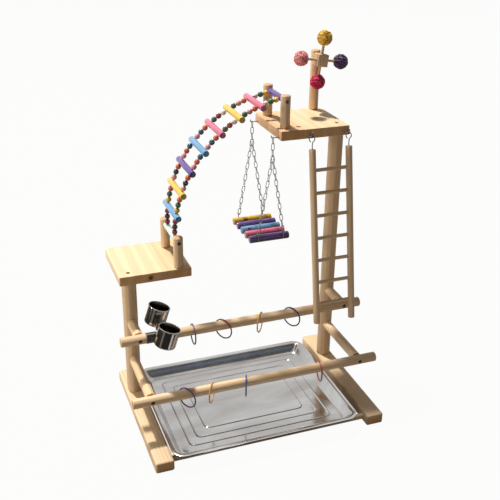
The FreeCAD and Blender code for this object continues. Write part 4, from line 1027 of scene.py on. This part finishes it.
def rolled_sheet(name):
    """Bright rolled sheet: long soft streaks, dull scuffs, and dirt with painted shade along the pressed frames."""
    material, shader, add, join = material_nodes(name)
    place = add("TexCoord").outputs["Object"]
    shift = add("Mapping")
    shift.inputs["Location"].default_value = (-(tray_low.x + tray_high.x) / 2, -(tray_low.y + tray_high.y) / 2, 0)
    join(place, shift.inputs["Vector"])
    streaks = add("Mapping")
    streaks.inputs["Scale"].default_value = (5, 17, 17)
    streaks.inputs["Rotation"].default_value = (0, 0, 0.35)
    join(shift.outputs["Vector"], streaks.inputs["Vector"])
    rolling = add("TexNoise", Scale=1.0, Detail=3.0, Distortion=0.5)
    join(streaks.outputs["Vector"], rolling.inputs["Vector"])
    colour = ramp(add, join, rolling.outputs["Fac"],
                  ((0.30, linear(168, 164, 161)), (0.50, linear(184, 182, 180)), (0.70, linear(200, 200, 200))))
    # how far each spot lies inside the outline, for the dirt and painted shade along the frames
    split = add("SeparateXYZ")
    join(shift.outputs["Vector"], split.inputs["Vector"])
    insets = []
    for axis, half in (("X", (tray_high.x - tray_low.x) / 2), ("Y", (tray_high.y - tray_low.y) / 2)):
        size = add("Math", operation="ABSOLUTE")
        join(split.outputs[axis], size.inputs[0])
        inset = add("Math", operation="SUBTRACT")
        inset.inputs[0].default_value = half
        join(size.outputs["Value"], inset.inputs[1])
        insets.append(inset.outputs["Value"])
    nearest = add("Math", operation="SMOOTH_MIN")
    nearest.inputs[2].default_value = 0.021
    join(insets[0], nearest.inputs[0])
    join(insets[1], nearest.inputs[1])
    # thin dark lines just inside each frame: part dirt, part painted shade
    clean = (1, 1, 1, 1)
    grime_and_shade = (0.22, 0.21, 0.20, 1)
    stops = [(0.0, clean)]
    for frame_inset in FRAME_INSETS:
        stops += [(frame_inset - 0.0008, clean), (frame_inset + 0.0002, grime_and_shade), (frame_inset + 0.0010, clean)]
    scaled = add("Math", operation="MULTIPLY")
    scaled.inputs[1].default_value = 10.0
    join(nearest.outputs["Value"], scaled.inputs[0])
    lines = ramp(add, join, scaled.outputs["Value"], [(min(1, at * 10), tone) for at, tone in stops])
    join(mix(add, join, "MULTIPLY", 1.0, colour, lines), shader.inputs["Base Color"])
    shader.inputs["Metallic"].default_value = 1.0
    scuffs = add("TexNoise", Scale=40.0, Detail=4.0)
    join(place, scuffs.inputs["Vector"])
    join(ramp(add, join, scuffs.outputs["Fac"], ((0.35, (0.10, 0.10, 0.10, 1)), (0.7, (0.22, 0.22, 0.22, 1)))),
         shader.inputs["Roughness"])
    bump(add, join, shader, rolling.outputs["Fac"], 0.05, 0.002)
    return material


tray_steel = rolled_sheet("steel_tray")
piece("tray_pressed", (upper_corners + under_corners, tray_faces), tray_steel, "tray", ["tray"], 50)

# ---------------------------------------------------------------- screws
# Countersunk wood screws, blackened, with a cross recess. They sit just under
# the surface of the wood in the posts, perches, pegs and decks.
SCREW_HEAD = 0.004
SCREW_SHANK = 0.0018
SCREW_HEAD_HEIGHT = 0.0026


def cross_headed_screw():
    """A countersunk screw, head up at its sunk place, with a cross cut into the head."""
    top = HEAD_SINK
    turns = [(0, top), (SCREW_HEAD - 0.0003, top), (SCREW_HEAD, top + 0.0003), (SCREW_SHANK, top + SCREW_HEAD_HEIGHT)]
    depth = top + SCREW_HEAD_HEIGHT
    for k in range(9):
        turns += [(SCREW_SHANK, depth + 0.0002), (SCREW_SHANK * 0.72, depth + 0.0011)]
        depth += 0.0022
    turns += [(SCREW_SHANK, depth), (0, depth + 0.002)]
    corners, faces = turned(turns, 24)
    slots = []
    for wide, deep in ((0.0022, 0.00055), (0.00055, 0.0022)):
        slots.append(rounded_block(Vector((-wide, -deep, top - 0.001)), Vector((wide, deep, top + 0.0012)), 0.0001))
    blank = bpy.data.meshes.new("screw_blank")
    blank.from_pydata([tuple(c) for c in corners], [], faces)
    blank_object = bpy.data.objects.new("screw_blank", blank)
    bpy.context.scene.collection.objects.link(blank_object)
    tools = []
    for slot_corners, slot_faces in slots:
        tool = bpy.data.meshes.new("cross_tool")
        tool.from_pydata([tuple(c) for c in slot_corners], [], slot_faces)
        tool_object = bpy.data.objects.new("cross_tool", tool)
        bpy.context.scene.collection.objects.link(tool_object)
        cut = blank_object.modifiers.new("cross", "BOOLEAN")
        cut.object = tool_object
        cut.solver = "EXACT"
        tools.append(tool_object)
    bpy.context.view_layer.update()
    cut_mesh = bpy.data.meshes.new_from_object(
        blank_object.evaluated_get(bpy.context.evaluated_depsgraph_get()))
    shape = ([v.co.copy() for v in cut_mesh.vertices], [list(f.vertices) for f in cut_mesh.polygons])
    for spare in tools + [blank_object]:
        bpy.data.objects.remove(spare)
    return shape


for post_middle in post_middles:
    screw_places.append((Vector((post_middle.x, post_middle.y, 0)), Vector((0, 0, 1))))
one_screw = cross_headed_screw()
screw_steel = steel("steel_screws", linear(98, 86, 76), 0.34, 0.2, "z")
piece("screws_cross_headed", together([stood(one_screw, at, way) for at, way in screw_places]), screw_steel,
      "stand", ["screws"])

# ---------------------------------------------------------------- studio
# White seamless paper under and behind the stand, a small bright lamp from the
# upper left and behind, an even surround, and glowing cards that only polished metal sees, as painted reflections.
PAPER = (0.968, 0.968, 0.963, 1)
floor_mesh = bpy.data.meshes.new("floor")
floor_mesh.from_pydata([(-20, -20, 0), (20, -20, 0), (20, 20, 0), (-20, 20, 0)], [], [(0, 1, 2, 3)])
floor = bpy.data.objects.new("floor", floor_mesh)
bpy.context.scene.collection.objects.link(floor)
floor_material, floor_shader, add, join = material_nodes("floor_paper")
floor_shader.inputs["Base Color"].default_value = (0.30, 0.28, 0.26, 1)
floor_shader.inputs["Roughness"].default_value = 0.9
floor_shader.inputs["Specular IOR Level"].default_value = 0.0


def seen_directly(add, join):
    """1 where the camera looks straight at a thing or sees it in metal or glass."""
    rays = add("LightPath")
    total = rays.outputs["Is Camera Ray"]
    for name in ("Is Glossy Ray", "Is Transmission Ray"):
        either = add("Math", operation="MAXIMUM")
        join(total, either.inputs[0])
        join(rays.outputs[name], either.inputs[1])
        total = either.outputs["Value"]
    return total


share = add("Math", operation="MULTIPLY")
share.inputs[1].default_value = 0.965
join(seen_directly(add, join), share.inputs[0])
white = add("Emission", Color=(1, 1, 0.995, 1), Strength=1.0)
blend = add("MixShader")
join(share.outputs["Value"], blend.inputs[0])
join(floor_shader.outputs[0], blend.inputs[1])
join(white.outputs[0], blend.inputs[2])
join(blend.outputs[0], floor_material.node_tree.nodes["Material Output"].inputs["Surface"])
floor_mesh.materials.append(floor_material)

world = bpy.data.worlds.new("studio")
bpy.context.scene.world = world
world.use_nodes = True
tree = world.node_tree
tree.nodes.clear()


def add(kind, **values):
    node = tree.nodes.new("ShaderNode" + kind)
    for key, value in values.items():
        if key in node.inputs:
            node.inputs[key].default_value = value
        else:
            setattr(node, key, value)
    return node


lights = add("Background", Color=(1.0, 0.985, 0.965, 1), Strength=0.14)
seen = add("Background", Color=PAPER, Strength=1.0)
choose = add("MixShader")
tree.links.new(seen_directly(add, tree.links.new), choose.inputs[0])
tree.links.new(lights.outputs[0], choose.inputs[1])
tree.links.new(seen.outputs[0], choose.inputs[2])
tree.links.new(choose.outputs[0], add("OutputWorld").inputs["Surface"])


def lamp(name, at, target, size, power, colour=(1, 1, 1)):
    data = bpy.data.lights.new(name, "AREA")
    data.size = size
    data.energy = power
    data.color = colour
    made = bpy.data.objects.new(name, data)
    bpy.context.scene.collection.objects.link(made)
    made.location = at
    made.rotation_euler = (Vector(target) - Vector(at)).to_track_quat("-Z", "Y").to_euler()
    return made


lamp("key", (-1.0, 2.5, 6.4), (0, 0, 0.3), 0.45, 560, (1.0, 0.985, 0.95))
# the side lamp brightens the wood and stays out of the polished steel
lamp("side", (-2.6, 0.25, 0.9), (0, 0, 0.3), 0.9, 38, (1.0, 0.98, 0.94)).visible_glossy = False


def card(name, corners, tone):
    """A glowing card that shows only in polished metal, as a painted reflection, and shades nothing."""
    mesh = bpy.data.meshes.new(name)
    mesh.from_pydata(corners, [], [(0, 1, 2, 3)])
    material, shader, add, join = material_nodes(name)
    glow = add("Emission", Color=tone, Strength=1.0)
    join(glow.outputs[0], material.node_tree.nodes["Material Output"].inputs["Surface"])
    mesh.materials.append(material)
    made = bpy.data.objects.new(name, mesh)
    bpy.context.scene.collection.objects.link(made)
    made.visible_camera = False
    made.visible_diffuse = False
    made.visible_shadow = False
    made.visible_transmission = False


# glowing dark and grey strips on the floor round the front cup: painted streak reflections in the cups
cup_low, cup_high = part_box("cup_front")
for number, (start, stop, tone) in enumerate((
        (121, 198, 0.05), (198, 214, 0.30), (214, 291, 0.035), (300, 305, 0.5), (312, 339, 0.05),
        (339, 394, 0.26), (394, 436, 0.05))):
    rim = []
    for reach, angle in ((0.05, start), (3.0, start), (3.0, stop), (0.05, stop)):
        rim.append((cup_low.x + reach * math.cos(math.radians(angle)),
                    cup_low.y + reach * math.sin(math.radians(angle)), 0.002))
    card("painted_reflection_strip_%d" % number, rim, (tone, tone * 0.95, tone * 0.9, 1))
# a glowing blue band and a dark grey card in front: painted reflections in the tray's walls and other steel
card("painted_reflection_blue", [(-0.9, -1.5, 1.02), (1.8, -1.5, 1.02), (1.8, -1.5, 1.36), (-0.9, -1.5, 1.36)],
     (0.15, 0.25, 0.41, 1))
card("painted_reflection_grey", [(-1.2, -1.5, 1.37), (2.2, -1.5, 1.37), (2.2, -0.9, 2.6), (-1.2, -0.9, 2.6)],
     (0.15, 0.16, 0.17, 1))

# ---------------------------------------------------------------- camera
# The photograph's viewpoint: above and to the left of the stand's front.
FROM_LEFT_POST = Vector((-0.2811, -1.4475, 1.0442))
YAW = 0.359
PITCH = 0.441
ROLL = 0.014
data = bpy.data.cameras.new("camera")
data.sensor_width = 36
data.lens = 808.4 / 500 * 36
camera = bpy.data.objects.new("camera", data)
bpy.context.scene.collection.objects.link(camera)
forward = Vector((math.sin(YAW) * math.cos(PITCH), math.cos(YAW) * math.cos(PITCH), -math.sin(PITCH)))
right = Vector((math.cos(YAW), -math.sin(YAW), 0))
up = right.cross(forward)
camera_x = right * math.cos(ROLL) + up * math.sin(ROLL)
camera_y = up * math.cos(ROLL) - right * math.sin(ROLL)
turn = Matrix((camera_x, camera_y, -forward)).transposed().to_4x4()
post_foot = Vector((post_middles[0].x, post_middles[0].y, 0))
camera.matrix_world = Matrix.Translation(post_foot + FROM_LEFT_POST) @ turn
bpy.context.scene.camera = camera
bpy.context.scene.view_settings.view_transform = "Standard"
